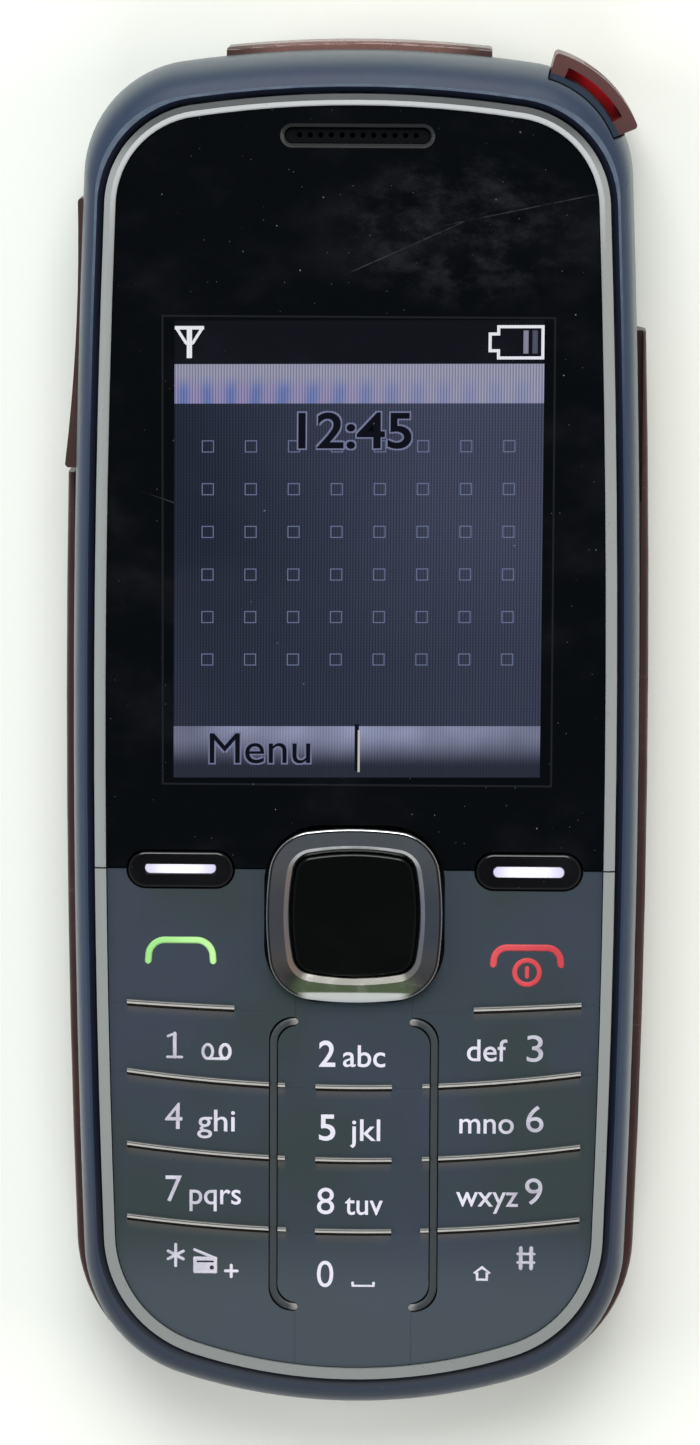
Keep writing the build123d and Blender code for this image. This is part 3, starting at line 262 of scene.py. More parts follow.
def worked_metal(name, colour, roughness, turn=0.0):
    """Sheet or turned metal with fine lines along one direction."""
    finish = Finish(name, Metallic=1.0)
    grain = finish.noise(9, 2, place=finish.turned((0, 0, turn), (0.04, 1, 1)))
    stains = finish.noise(0.4, 3)
    finish.bump(grain, 0.0015)
    tone = finish.shade(colour, grain * 0.35 + stains * 0.2)
    return finish.done(tone, roughness + grain * 0.07 + stains * 0.08)


def dress(material, *names):
    """Gives CAD nodes a material."""
    for name in names:
        for slot in NODES[name].material_slots:
            slot.link = "OBJECT"
            slot.material = material


# Sizes and colours that a user would change


def colour_property(name, description, default):
    """A colour that a user may change."""
    return bpy.props.FloatVectorProperty(
        name=name, description=description, default=default, subtype="COLOR", size=3, min=0, max=1
    )


def number_property(name, description, default, **more):
    """A number, at least 0, that a user may change."""
    return bpy.props.FloatProperty(name=name, description=description, default=default, min=0, **more)


def share_property(name, description, default):
    """A number from 0 to 1 that a user may change."""
    return number_property(name, description, default, max=1, subtype="FACTOR")


def angle_property(name, description, degrees):
    """An angle that a user may change."""
    return bpy.props.FloatProperty(
        name=name, description=description, default=math.radians(degrees), subtype="ANGLE"
    )


class PhoneCaseLook(bpy.types.PropertyGroup):
    """Colours of the case, its trim and its ends."""

    paint: colour_property("Paint", "Front shell, matte", srgb(46, 61, 80))
    # The shoulder colour is a painted sheen, and the bevel colour below it painted shade.
    shoulder: colour_property("Shoulder", "Worn outer edge of the front shell", srgb(96, 104, 108))
    bevel: colour_property("Bevel", "Inner edge of the front shell", srgb(20, 26, 42))
    cover: colour_property("Cover", "Sliding rear cover and volume key", srgb(56, 42, 41))
    silver: colour_property("Silver", "Trim round window and keypad", srgb(158, 163, 162))
    lens: colour_property("Lens", "Torch lens in the top end", srgb(140, 104, 96))
    eyelet: colour_property("Eyelet", "Strap eyelet", srgb(106, 72, 70))
    # The slot's deep red stands in for light shining through the plastic: painted light.
    slot: colour_property("Slot", "Inside of the strap eyelet", srgb(176, 14, 22))


class PhoneKeypadLook(bpy.types.PropertyGroup):
    """Colours and sizes of the keypad and its print."""

    green_grey: colour_property("Greenish grey", "Keys, where they look greenish", srgb(46, 58, 60))
    blue_grey: colour_property("Bluish grey", "Keys, where they look bluish", srgb(50, 60, 73))
    # The ribs' pale tops are wear with painted highlight on them.
    rib: colour_property("Ribs", "Worn tops of the ribs between keys", srgb(184, 183, 180))
    bead: colour_property("Beads", "Rubber beads in the bracket grooves", srgb(56, 61, 64))
    legend: colour_property("Legends", "Printed numbers and letters", srgb(222, 219, 236))
    digit_height: number_property("Digit height", "Height of the numbers, mm", 2.1)
    letter_height: number_property("Letter height", "Height of tall letters, mm", 1.7)
    stroke: number_property("Sign stroke", "Stroke of the drawn signs, mm", 0.25)


class PhoneWindowLook(bpy.types.PropertyGroup):
    """Wear of the gloss black window, and the display's picture."""

    black: colour_property("Black", "Gloss black of the window", srgb(6, 8, 11))
    dust: share_property("Dust", "Share of the window's cells that hold a speck of dust", 0.09)
    haze: share_property("Haze", "Strength of the smears", 0.5)
    field: colour_property("Field", "Display background", srgb(48, 54, 76))
    bar: colour_property("Bar", "Light bar across the display", srgb(160, 160, 186))
    clock: bpy.props.StringProperty(name="Clock", description="Time on the display", default="12:45")
    label: bpy.props.StringProperty(name="Label", description="Left soft key's label", default="Menu")


class PhoneStageLook(bpy.types.PropertyGroup):
    """Floor, lamps and camera."""

    floor: colour_property("Floor", "Pale floor", srgb(243, 246, 240))
    main_power: number_property("Main lamp", "Power of the main lamp, W", 10.4)
    side_power: number_property("Side lamps", "Power of the other lamps before their shares, W", 3.2)
    distance: number_property("Camera distance", "From the phone's face, mm", 486)
    tilt: angle_property("Tilt", "Camera lean towards the top end", 8.9)
    yaw: angle_property("Yaw", "Camera lean to the right", 1.2)
    roll: angle_property("Roll", "Camera turn on its own axis", 0.24)


# Case


class PHONE_OT_case(bpy.types.Operator):
    """Paint the shells, and finish the rear cover and the volume key"""

    bl_idname = "phone.case"
    bl_label = "Case"

    def execute(self, context):
        look = context.scene.phone_case
        dress(self.paint(look), "front_cover", "back_upper")
        dress(self.cover(look), "rear_cover", "volume_rocker")
        return {"FINISHED"}

    def paint(self, look):
        """Matte paint with a painted sheen round the outer edge, a painted highlight along the crest and
        painted shade on the dark inner bevel.
        """
        finish = Finish("case_paint", Specular_IOR_Level=0.25)
        clouds = finish.noise(0.14, 3)
        fine = finish.noise(5, 3)
        outward = finish.outward()
        below = CREST - finish.z
        # the paler outer shoulder is a painted sheen, the crest glint a painted highlight and the dark
        # inner bevel painted shade
        shoulder_sheen = finish.step(below, 0.25, 1.8) * finish.step(below, 7.0, 5.0) * (outward > 0.0)
        on_crest = finish.step(below, 0.009, 0.003) * (outward > -2.0)
        glint = on_crest * finish.step(finish.y, 20, 44) * (0.2 + finish.noise(1.1, 3) * 0.7)
        bevel = finish.step(outward, -0.8, -2.6) * finish.step(below, 0.8, 0.6)
        foot = finish.step(finish.y, -28, -46)
        scuffs = finish.specks(0.9, 0.07, 0.14)
        tone = finish.tint(
            look.paint,
            (clouds, srgb(46, 56, 78)),
            (shoulder_sheen * (0.5 + clouds * 0.4), look.shoulder),
            (glint, srgb(104, 118, 134)),
            (bevel, look.bevel),
            (foot * 0.55, srgb(58, 60, 66)),
        )
        tone = finish.mix(scuffs * 0.4, finish.shade(tone, fine * 0.16), srgb(104, 108, 116))
        finish.bump(fine, 0.006)
        return finish.done(tone, 0.42 + (fine - 0.5) * 0.14 - shoulder_sheen * 0.06)

    def cover(self, look):
        """Satin maroon plastic with a few fine scratches."""
        finish = Finish("cover_plastic")
        clouds = finish.noise(0.2, 3)
        fine = finish.noise(8, 2)
        lines = finish.noise(0.8, 3, place=finish.turned((0.3, 0.2, 0.9), (0.06, 2.4, 1)))
        scratch = finish.step(abs(lines - 0.5), 0.006, 0.002) * finish.step(clouds, 0.45, 0.62)
        tone = finish.tint(look.cover, (clouds, srgb(74, 52, 48)), (scratch * 0.45, srgb(128, 108, 102)))
        finish.bump(fine, 0.004)
        return finish.done(tone, 0.3 + clouds * 0.14 + scratch * 0.2)


class PHONE_OT_trim(bpy.types.Operator):
    """Silver the two trim rings"""

    bl_idname = "phone.trim"
    bl_label = "Trim rings"

    def execute(self, context):
        finish = Finish("trim_silver", Metallic=0.25)
        silver = context.scene.phone_case.silver
        clouds = finish.noise(0.5, 3)
        fine = finish.noise(14, 2)
        # the upper ring's sloping outer part is painted dark as shade, and its flat part painted pale as
        # a highlight
        sloping = finish.outward() > 4.0
        painted_shade_slope = sloping * finish.step(finish.y, 43, 47.5)
        painted_highlight_edge = (1 - sloping) * finish.step(finish.y, 36, 46)
        foot = finish.step(finish.y, -12, -50)
        rubbed = finish.specks(1.3, 0.16, 0.2)
        tone = finish.tint(
            finish.shade(silver, clouds * 0.3 + fine * 0.1 + foot * 0.5),
            (painted_shade_slope * 0.9, srgb(62, 64, 66)),
            (painted_highlight_edge * 0.8, srgb(206, 209, 212)),
        )
        tone = finish.shade(tone, rubbed * 0.5, 0.6)
        finish.bump(fine, 0.003)
        rough = 0.34 + clouds * 0.14 + painted_shade_slope * 0.25
        dress(finish.done(tone, rough), "trim_upper", "trim_lower")
        return {"FINISHED"}


# Window

# Where the smears are thickest, and how far they reach across and along
SMEAR_MIDDLE = (8.0, 39.3)
SMEAR_REACH = (10.5, 6.5)
# Long fine scratches: where each starts, how steeply it climbs, and its length across
SCRATCHES = (((6.9, 39.7), 0.21, 11.0), ((-0.4, 36.1), 0.45, 10.0), ((-15.5, 19.0), -0.35, 3.0))
# The mask's edge round the display shows through as a faint line
MASK_MIDDLE = (0.14, 14.72)
MASK_HALF = (14.87, 17.95)
# The earpiece slot's bevel lies between these lines, and between these depths below the window's top
EARPIECE_LINES = (45.3, 47.4)
EARPIECE_HALF = 6.1
EARPIECE_DEPTHS = (0.03, 0.45)


class PHONE_OT_window(bpy.types.Operator):
    """Finish the gloss window with its dust and smears, and the earpiece slot"""

    bl_idname = "phone.window"
    bl_label = "Window"

    def execute(self, context):
        look = context.scene.phone_window
        finish = Finish("window_gloss")
        tone, rough = worn_gloss(finish, look, look.black)
        dress(finish.done(self.edges(finish, tone), rough), "display_window")
        dress(worked_metal("earpiece_mesh", srgb(30, 31, 33), 0.5), "earpiece_mesh")
        return {"FINISHED"}

    def edges(self, finish, tone):
        """The mask's edge under the gloss, and the paler bevel round the earpiece slot."""
        past_x = abs(finish.x - MASK_MIDDLE[0]) - MASK_HALF[0]
        past_y = abs(finish.y - MASK_MIDDLE[1]) - MASK_HALF[1]
        mask_line = finish.step(abs(past_x.either(past_y)), 0.09, 0.04)
        round_slot = finish.within(finish.y, *EARPIECE_LINES, 0.05)
        round_slot *= finish.step(abs(finish.x), EARPIECE_HALF + 0.1, EARPIECE_HALF - 0.1)
        bevel = round_slot * finish.within(WINDOW_TOP - finish.z, *EARPIECE_DEPTHS, 0.02)
        return finish.tint(tone, (mask_line * 0.7, srgb(34, 36, 38)), (bevel, srgb(48, 50, 51)))


def smears(finish):
    """Hazy wipes, thickest right of the middle between earpiece and display."""
    swirl = finish.noise(0.09, 4, 0.6, finish.turned((0, 0, 0.7), (1, 1.5, 1), (3, 5, 0)))
    blotches = finish.noise(0.45, 5, 0.7, finish.turned((0, 0, 0.6), (0.8, 1.3, 1)))
    off_x = (finish.x - SMEAR_MIDDLE[0]) / SMEAR_REACH[0]
    off_y = (finish.y - SMEAR_MIDDLE[1]) / SMEAR_REACH[1]
    near = finish.step(off_x * off_x + off_y * off_y, 1.2, 0.0)
    return finish.step(swirl, 0.45, 0.75) * blotches * 0.5 + near * finish.step(blotches, 0.4, 0.8) * 0.9


def scratches(finish):
    """Where the long scratches run, broken up along their length."""
    marks = 0.0
    for (x, y), slope, reach in SCRATCHES:
        run = finish.x - x
        off = abs(finish.y - run * slope - y)
        mark = finish.step(off, 0.06, 0.0) * finish.within(run, 0.0, reach, 1.2)
        marks = mark.either(marks)
    return marks * finish.step(finish.noise(1.1, 3), 0.3, 0.7)


def worn_gloss(finish, look, colour):
    """The tone and roughness of gloss black with haze, dust and fine scratches."""
    haze = smears(finish) * look.haze
    fine_dust = finish.specks(3.1, 0.13, look.dust * 0.6) * 0.7
    dust = finish.specks(1.15, 0.085, look.dust).either(fine_dust)
    tone = finish.tint(
        colour,
        (haze, srgb(50, 52, 56)),
        (scratches(finish) * 0.5, srgb(84, 88, 92)),
        (dust * 0.6, srgb(130, 134, 140)),
    )
    return tone, 0.1 + haze * 0.3 + dust * 0.5


# Keypad

KEYS = [f"key_{name}" for name in ("call", "end", *"1234567890", "star", "hash")]

# Each rib: its line, how much it rises at its outer end, and how far off the middle it starts
RIBS = ((-21.0, 0.6, 9.2), (-27.0, 1.2, 5.3), (-32.75, 1.2, 5.3), (-38.4, 1.1, 5.2))
RIB_REACH = 17.5  # how far off the middle the outer ends are
WARM_BAND_REACH = 1.0  # how far below a rib its warm band reaches

# Each printed number: its middle and its width
DIGITS = {
    "2": (-2.06, -24.21, 1.26),
    "3": (13.95, -23.70, 1.26),
    "4": (-13.9, -29.24, 1.34),
    "5": (-2.04, -30.01, 1.26),
    "6": (13.99, -29.24, 1.34),
    "7": (-13.9, -34.97, 1.26),
    "8": (-2.14, -35.86, 1.32),
    "9": (13.95, -34.97, 1.34),
    "0": (-2.16, -41.65, 1.27),
}
# The letters beside a number, their width, their middle across and their baseline
LETTERS = {
    "2": ("abc", 3.26, 0.79, -25.26),
    "3": ("def", 3.10, 10.27, -24.73),
    "4": ("ghi", 2.91, -10.62, -30.43),
    "5": ("jkl", 2.34, 0.89, -31.09),
    "6": ("mno", 4.20, 10.27, -30.43),
    "7": ("pqrs", 3.98, -10.69, -36.20),
    "8": ("tuv", 2.94, 0.82, -36.94),
    "9": ("wxyz", 4.79, 10.35, -36.20),
}
# The middles of the two handset signs
CALL_MIDDLE = (-13.36, -15.43)
END_MIDDLE = (13.29, -15.83)
# The soft keys' light bars: how far off the middle they lie, and half the length of their straight part
BAR_X = 13.36
BAR_STRAIGHT = 2.3


class PHONE_OT_keypad(bpy.types.Operator):
    """Finish the keys, the rubber web with its beads, and the soft keys"""

    bl_idname = "phone.keypad"
    bl_label = "Keypad"

    def execute(self, context):
        look = context.scene.phone_keypad
        dress(self.tiles(look), *KEYS)
        dress(self.web(look), "keypad_web")
        window = context.scene.phone_window
        soft = Finish("soft_key_gloss")
        gloss = worn_gloss(soft, window, srgb(13, 13, 15))
        dress(soft.done(*gloss), "soft_key_left", "soft_key_right")
        dress(self.bars(), "soft_bar_left", "soft_bar_right")
        return {"FINISHED"}

    def tiles(self, look):
        """Matte keys that drift between greenish and bluish grey, with worn rib tops in painted
        highlight and shade, sides painted lighter than their shade and a painted sheen towards the foot.
        """
        finish = Finish("key_plastic")
        drift = finish.step(finish.noise(0.09, 2), 0.35, 0.65)
        clouds = finish.noise(0.5, 4, 0.6)
        fine = finish.noise(6, 3)
        tone = finish.mix(drift, look.green_grey, look.blue_grey)
        tone = finish.shade(tone, clouds * 0.3 + fine * 0.2)
        # Lighter towards the foot: a painted sheen.
        foot = finish.step(finish.y, -37, -44)
        tone = finish.mix(foot * 0.8, tone, srgb(66, 75, 83))
        wear = finish.noise(1.6, 4, 0.7)
        along = finish.noise(2.2, 3, 0.6, finish.turned((0, 0, 0), (0.5, 1, 1)))
        on_rib = finish.step(finish.z, KEY_FACE + 0.02, KEY_FACE + 0.06)
        rib_highlight, under = self.ribs(finish, along)
        # the ribs' pale tops are wear with painted highlight lines; between those lines the rib is
        # painted dark as shade
        rib_tone = finish.mix(wear * 0.5, look.rib, srgb(138, 137, 134))
        rib_tone = finish.mix(rib_highlight, srgb(78, 80, 80), rib_tone)
        # the sides below the face are painted warm brown, lighter than they would render in their shade:
        # painted light
        sides = finish.step(finish.z, KEY_FACE - 0.05, KEY_FACE - 0.12)
        lint = finish.specks(1.1, 0.06, 0.1)
        tone = finish.tint(
            tone,
            (under * (0.25 + wear * 0.6), srgb(84, 79, 75)),
            (on_rib, rib_tone),
            (sides, srgb(70, 62, 56)),
            (lint * 0.35, srgb(128, 130, 132)),
        )
        finish.bump(fine, 0.006)
        return finish.done(tone, 0.5 + (clouds - 0.5) * 0.12 - on_rib * 0.1)

    def ribs(self, finish, along):
        """Where painted highlight lines run along the ribs' worn tops, and how far a place lies in the
        warm band under one.
        """
        rib_highlight, under = 0.0, 0.0
        for line, rise, inner in RIBS:
            above = finish.y - finish.x * finish.x * (rise / RIB_REACH**2) - line
            low = finish.within(above, 0.02, 0.17, 0.02)
            high = finish.within(above, 0.25, 0.31, 0.02) * (0.3 + along * 0.8)
            rib_highlight = low.either(high).either(rib_highlight)
            fade = finish.step(above, -WARM_BAND_REACH, -0.1) * (above < 0.0)
            side = finish.within(abs(finish.x), inner, RIB_REACH, 0.15)
            middle = finish.step(abs(finish.x), 3.05, 2.75) * (finish.y < RIBS[1][0])
            under = (fade * side.either(middle)).either(under)
        return rib_highlight, under

    def web(self, look):
        """Dark rubber; its beads are paler, with a painted highlight at their hooked ends."""
        finish = Finish("web_rubber", Roughness=0.55)
        clouds = finish.noise(0.7, 3)
        bead = finish.step(height("keypad_web") - finish.z, 0.77, 0.37)
        hook_highlight = finish.step(abs(finish.x), 5.0, 4.4) * 0.9
        tone = finish.mix(hook_highlight, look.bead, srgb(130, 129, 127))
        tone = finish.mix(bead, srgb(30, 30, 32), tone)
        finish.bump(finish.noise(5, 2), 0.006)
        return finish.done(finish.shade(tone, clouds * 0.5))

    def bars(self):
        """Milky bars in the soft keys with a faint painted glow, brighter in the middle."""
        finish = Finish("light_bar", Roughness=0.35, Emission_Strength=0.25)
        low, high = (corner.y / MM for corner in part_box("soft_bar_left"))
        # the emission is a painted glow, strongest in the middle of each bar
        along = finish.step(abs(abs(finish.x) - BAR_X), 2.9, 0.6)
        clouds = finish.noise(0.9, 2)
        tone = finish.mix(along, srgb(188, 184, 208), srgb(232, 229, 246))
        past_x = (abs(abs(finish.x) - BAR_X) - BAR_STRAIGHT).either(0.0)
        off_y = abs(finish.y - (low + high) / 2 - (finish.x < 0.0) * 0.15)
        from_line = (past_x * past_x + off_y * off_y).power(0.5)
        tone = finish.mix(finish.step(from_line, 0.36, 0.46), tone, srgb(24, 24, 28))
        return finish.done(finish.shade(tone, clouds * 0.2), Emission_Color=tone)


# Printed pieces


def moved(x, y, z=0.0):
    """A shift in millimetres."""
    return Matrix.Translation((x * MM, y * MM, z * MM))


def sized(x, y, z):
    """Brings a mesh of unit size to millimetres."""
    return Matrix.Diagonal((x * MM, y * MM, z * MM, 1))


def mesh_of(shape, name):
    """A shape's mesh; the shape is put away."""
    mesh = bpy.data.meshes.new(name)
    shape.to_mesh(mesh)
    shape.free()
    return mesh


def add_piece(name, mesh, body, material):
    """Links a finished mesh, and says what it rides on and takes its finish from."""
    mesh.name = name
    mesh.materials.clear()
    mesh.materials.append(material)
    piece = bpy.data.objects.new(name, mesh)
    bpy.context.scene.collection.objects.link(piece)
    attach(piece, body)


def curve_mesh(curve):
    """A curve or text turned into a mesh and put away."""
    holder = bpy.data.objects.new("holder", curve)
    bpy.context.scene.collection.objects.link(holder)
    bpy.context.view_layer.update()
    shown = holder.evaluated_get(bpy.context.evaluated_depsgraph_get())
    mesh = bpy.data.meshes.new_from_object(shown)
    bpy.data.objects.remove(holder)
    return mesh


def span(mesh, axis):
    """A mesh's lowest and highest place along an axis."""
    places = [vertex.co[axis] for vertex in mesh.vertices]
    return min(places), max(places)


def text_mesh(words, weight):
    """Words as a mesh of unit size with its baseline at 0."""
    curve = bpy.data.curves.new("words", "FONT")
    curve.body = words
    curve.offset = weight
    curve.extrude = 0.5
    curve.resolution_u = 6
    return curve_mesh(curve)


def set_words(words, sample, tall, wide, middle, baseline, low, high, weight):
    """Words as tall as their sample letter says, fitted to a width and laid between two heights.

    The weight makes their strokes bolder.
    """
    foot, head = span(text_mesh(sample, weight), 1)
    mesh = text_mesh(words, weight)
    left, right = span(mesh, 0)
    mesh.transform(Matrix.Translation((-(left + right) / 2, 0, 0)))
    mesh.transform(sized(wide / (right - left), tall / (head - foot), high - low))
    mesh.transform(moved(middle, baseline, (low + high) / 2))
    return mesh


def stroke_mesh(points, width, low, high, closed=False, rounds=1):
    """A drawn line of that width with round ends, laid between two heights."""
    curve = bpy.data.curves.new("stroke", "CURVE")
    curve.dimensions = "3D"
    curve.bevel_depth = width / 2
    curve.bevel_resolution = rounds
    curve.use_fill_caps = True
    steps = [(Vector(point), 1.0) for point in points]
    if not closed:
        # the ends run on for half the width and grow thin, as a round end does
        for end, inner in ((0, 1), (-1, -2)):
            tip, back = steps[end][0], steps[inner][0]
            out = (tip - back).normalized() * width / 2
            cap = [(tip + out * reach, math.sqrt(1 - reach**2)) for reach in (0.45, 0.8, 0.97)]
            steps = cap[::-1] + steps if end == 0 else steps + cap
    line = curve.splines.new("POLY")
    line.points.add(len(steps) - 1)
    for point, (place, radius) in zip(line.points, steps):
        point.co = (place.x, place.y, 0, 1)
        point.radius = radius
    line.use_cyclic_u = closed
    mesh = curve_mesh(curve)
    mesh.transform(sized(1, 1, (high - low) / width))
    mesh.transform(moved(0, 0, (low + high) / 2))
    return mesh


def arc(middle, radius, start, end, steps=10, flatten=1.0):
    """Points along an arc; angles in degrees from +X."""
    angles = [math.radians(start + (end - start) * step / steps) for step in range(steps + 1)]
    return [
        (middle[0] + radius * math.cos(angle), middle[1] + radius * flatten * math.sin(angle))
        for angle in angles
    ]


def join(meshes):
    """Several meshes as one."""
    whole = bmesh.new()
    for mesh in meshes:
        whole.from_mesh(mesh)
        bpy.data.meshes.remove(mesh)
    bmesh.ops.remove_doubles(whole, verts=whole.verts, dist=1e-8)
    bmesh.ops.recalc_face_normals(whole, faces=whole.faces)
    return mesh_of(whole, "joined")


def print_on(place):
    """The heights between which print lies on a surface."""
    return place - SINK, place + PRINT


def printed(name, colour, dim):
    """Uneven print, duller towards the sides: dim is what the dullest place keeps of the colour."""
    finish = Finish(name, Roughness=0.42)
    edge = finish.step(abs(finish.x), 8.0, 13.5)
    patches = finish.noise(0.9, 3)
    return finish.done(finish.shade(colour, edge * patches * 1.2 + patches * 0.2, dim))


class PHONE_OT_joints(bpy.types.Operator):
    """Lay the beads, with their painted shade and highlight, in the bracket grooves, and close the
    joints between keys with film
    """

    bl_idname = "phone.joints"
    bl_label = "Joints between keys"

    def execute(self, context):
        look = context.scene.phone_keypad
        rubber = self.rubber(look)
        for side, name in ((-1, "left"), (1, "right")):
            bead = stroke_mesh(self.bracket(side), 0.6, KEY_FACE - 0.2, KEY_FACE + 0.05, rounds=3)
            add_piece(f"groove_bead_{name}", bead, "handset", rubber)
        film = NODES["key_1"].material_slots[0].material
        add_piece("key_film", join(self.joints()), "handset", film)
        return {"FINISHED"}

    def bracket(self, side):
        """The middle line of a bracket groove."""
        turn, waist = 1.68, 6.2
        upper, lower = (4.52, -23.43), (4.52, -42.62)
        path = [*arc(upper, turn, 90, 0, 8), (waist, -33.0), *arc(lower, turn, 0, -90, 8)]
        return [(side * x, y) for x, y in path]

    def joints(self):
        """Fine lines of film along the joints between rows and at the middle column's necks."""
        spans = [[(4.52, 19.0)]] + [[(0.0, 5.82), (6.58, 19.0)]] * 3
        necks = ((-19.8, -21.4), (-44.66, -48.9))
        paths = []
        for (line, rise, _), reaches in zip(RIBS, spans):
            for start, end in reaches:
                places = [start + (end - start) * step / 12 for step in range(13)]
                bend = [(x, line + rise * (x / RIB_REACH) ** 2) for x in places]
                paths += [bend, [(-x, y) for x, y in bend]]
        for x in (-4.5, 4.5):
            paths += [[(x, start), (x, end)] for start, end in necks]
        return [stroke_mesh(path, 0.07, KEY_FACE - 0.1, KEY_FACE - 0.002) for path in paths]

    def rubber(self, look):
        """Grey rubber, with painted shade down its sides and a painted highlight at the hooked ends."""
        finish = Finish("bead_rubber")
        up = finish.split(finish.node("ShaderNodeTexCoord", output="Normal"))[2]
        clouds = finish.noise(0.9, 3)
        hook_highlight = finish.step(abs(finish.x), 5.1, 4.35)
        tone = finish.mix(hook_highlight * (0.4 + clouds), look.bead, srgb(142, 141, 139))
        # where the surface turns away from up it is painted dark: painted shade down the bead's sides
        tone = finish.mix(finish.step(up, 0.8, 0.4), tone, srgb(30, 32, 34))
        finish.bump(finish.noise(5, 2), 0.004)
        return finish.done(finish.shade(tone, clouds * 0.35), 0.4 + clouds * 0.15)


class PHONE_OT_legends(bpy.types.Operator):
    """Print the numbers, letters and signs on the keys"""

    bl_idname = "phone.legends"
    bl_label = "Legends"

    def execute(self, context):
        look = context.scene.phone_keypad
        low, high = print_on(KEY_FACE)
        ink = printed("legend_ink", look.legend, 0.5)
        half = look.digit_height / 2
        signs = self.signs(look, low, high)
        for digit, (x, y, wide) in DIGITS.items():
            weight = 0.012 if digit in "25" else 0.0  # these two are printed bolder
            meshes = [set_words(digit, "0", look.digit_height, wide, x, y - half, low, high, weight)]
            if digit in LETTERS:
                words, *fit = LETTERS[digit]
                meshes.append(set_words(words, "d", look.letter_height, *fit, low, high, 0.006))
            meshes += signs.pop(digit, [])
            add_piece(f"legend_{digit}", join(meshes), f"key_{digit}", ink)
        for key, meshes in signs.items():
            add_piece(f"legend_{key}", join(meshes), f"key_{key}", ink)
        self.radio_dial(high)
        self.call_signs(low, high)
        return {"FINISHED"}

    def signs(self, look, low, high):
        """Drawn signs by key: one, message reels, star, radio, plus, space, hash and arrow."""
        stroke = look.stroke
        lift = PRINT / 8  # strokes that cross stand at different heights

        def line(*points, width=stroke, closed=False, over=0):
            return stroke_mesh(points, width, low, high + over * lift, closed)

        one = [
            line((-13.82, -22.78), (-13.82, -24.6), width=0.31),
            line((-14.38, -24.62), (-13.28, -24.62), width=0.22, over=1),
            line((-14.34, -22.98), (-13.9, -22.8), width=0.22, over=2),
        ]
        reels = [
            line(*arc((-11.27, -24.17), 0.375, 0, 345, 22, 1.47), closed=True),
            line(*arc((-9.93, -24.17), 0.375, 0, 345, 22, 1.47), width=0.28, closed=True),
            line((-11.2, -24.73), (-9.95, -24.73), width=0.22, over=1),
        ]
        star = (-13.75, -40.28)
        arms = [line((star[0], star[1] + 0.84), (star[0], star[1] - 0.84))]
        for over, angle in enumerate((28, 152), 1):
            ends = (arc(star, 0.66, angle, angle, 1)[0], arc(star, 0.66, angle + 180, 0, 1)[0])
            arms.append(line(*ends, over=over))
        x, y = -11.46, -40.72
        left, right, head, foot = x - 0.8, x + 0.8, y + 0.2, y - 0.86
        radio = [line((x - 0.27, y - 0.32), (x + 0.27, y - 0.32), width=1.32)]
        radio += [line((left, level), (right, level), width=0.28, over=1) for level in (head, foot)]
        radio += [line((side, foot), (side, head), width=0.28, over=2) for side in (left, right)]
        radio += [line((left - 0.02, y + 0.88), (right - 0.04, y + 0.22), width=0.24, over=3)]
        plus = [line((-9.44, -41.06), (-9.44, -41.96)), line((-9.89, -41.51), (-8.99, -41.51), over=1)]
        space = [line((-0.02, -42.38), (-0.02, -42.6), (1.6, -42.6), (1.6, -42.38), width=0.24)]
        hash_bars = [line((x, -39.5), (x, -41.08), width=0.32) for x in (12.99, 13.8)]
        hash_bars += [line((12.76, y), (14.03, y), width=0.22, over=1) for y in (-39.95, -40.63)]
        arrow = [(10.0, -41.05), (10.57, -41.46), (10.38, -41.52), (10.38, -42.02)]
        arrow += [(20.0 - x, y) for x, y in reversed(arrow[1:])]
        return {
            "1": one + reels,
            "star": arms + radio + plus,
            "0": space,
            "hash": hash_bars + [line(*arrow, width=0.27, closed=True)],
        }

    def radio_dial(self, high):
        """The dark slit and dial on the radio sign."""
        ink = printed("legend_dark", srgb(40, 46, 52), 0.6)
        top = high + PRINT
        slit = stroke_mesh([(-12.05, -40.76), (-10.87, -40.76)], 0.15, high, top)
        dial = stroke_mesh(arc((-10.95, -41.24), 0.09, 0, 330, 11), 0.16, high, top, True)
        add_piece("legend_radio_dial", join([slit, dial]), "key_star", ink)

    def call_signs(self, low, high):
        """The green and red handsets."""
        x, y = CALL_MIDDLE
        handset = self.handset(x, y, 2.47, 1.25, 1.62)
        green = self.glow("call_green", srgb(150, 212, 128), srgb(178, 232, 150), x)
        add_piece("sign_call", stroke_mesh(handset, 0.52, low, high), "key_call", green)
        x, y = END_MIDDLE
        handset = self.handset(x, y, 2.57, 1.05, 1.3)
        ring = arc((x, y - 1.93), 0.95, 0, 348, 29)
        strokes = [
            stroke_mesh(handset, 0.54, low, high),
            stroke_mesh(ring, 0.4, low, high, True),
            stroke_mesh([(x, y - 1.6), (x, y - 2.24)], 0.34, low, high),
        ]
        red = self.glow("end_red", srgb(206, 76, 82), srgb(190, 62, 70), x)
        add_piece("sign_end", join(strokes), "key_end", red)

    def handset(self, x, y, reach, bend, drop):
        """A flat-topped arch by its middle, half width, bends and drop; its legs lean out a little."""
        return [
            (x - reach - 0.03, y - drop),
            (x - reach, y - bend),
            *arc((x - reach + bend, y - bend), bend, 172, 90),
            *arc((x + reach - bend, y - bend), bend, 90, 8),
            (x + reach, y - bend),
            (x + reach + 0.03, y - drop),
        ]

    def glow(self, name, colour, far, middle):
        """Slightly luminous print that shifts in colour from left to right."""
        finish = Finish(name, Roughness=0.4, Emission_Strength=0.12)
        tone = finish.mix(finish.step(finish.x, middle - 2.6, middle + 2.6), colour, far)
        tone = finish.shade(tone, finish.noise(1.3, 3) * 0.5)
        return finish.done(tone, Emission_Color=tone)


# Navigation


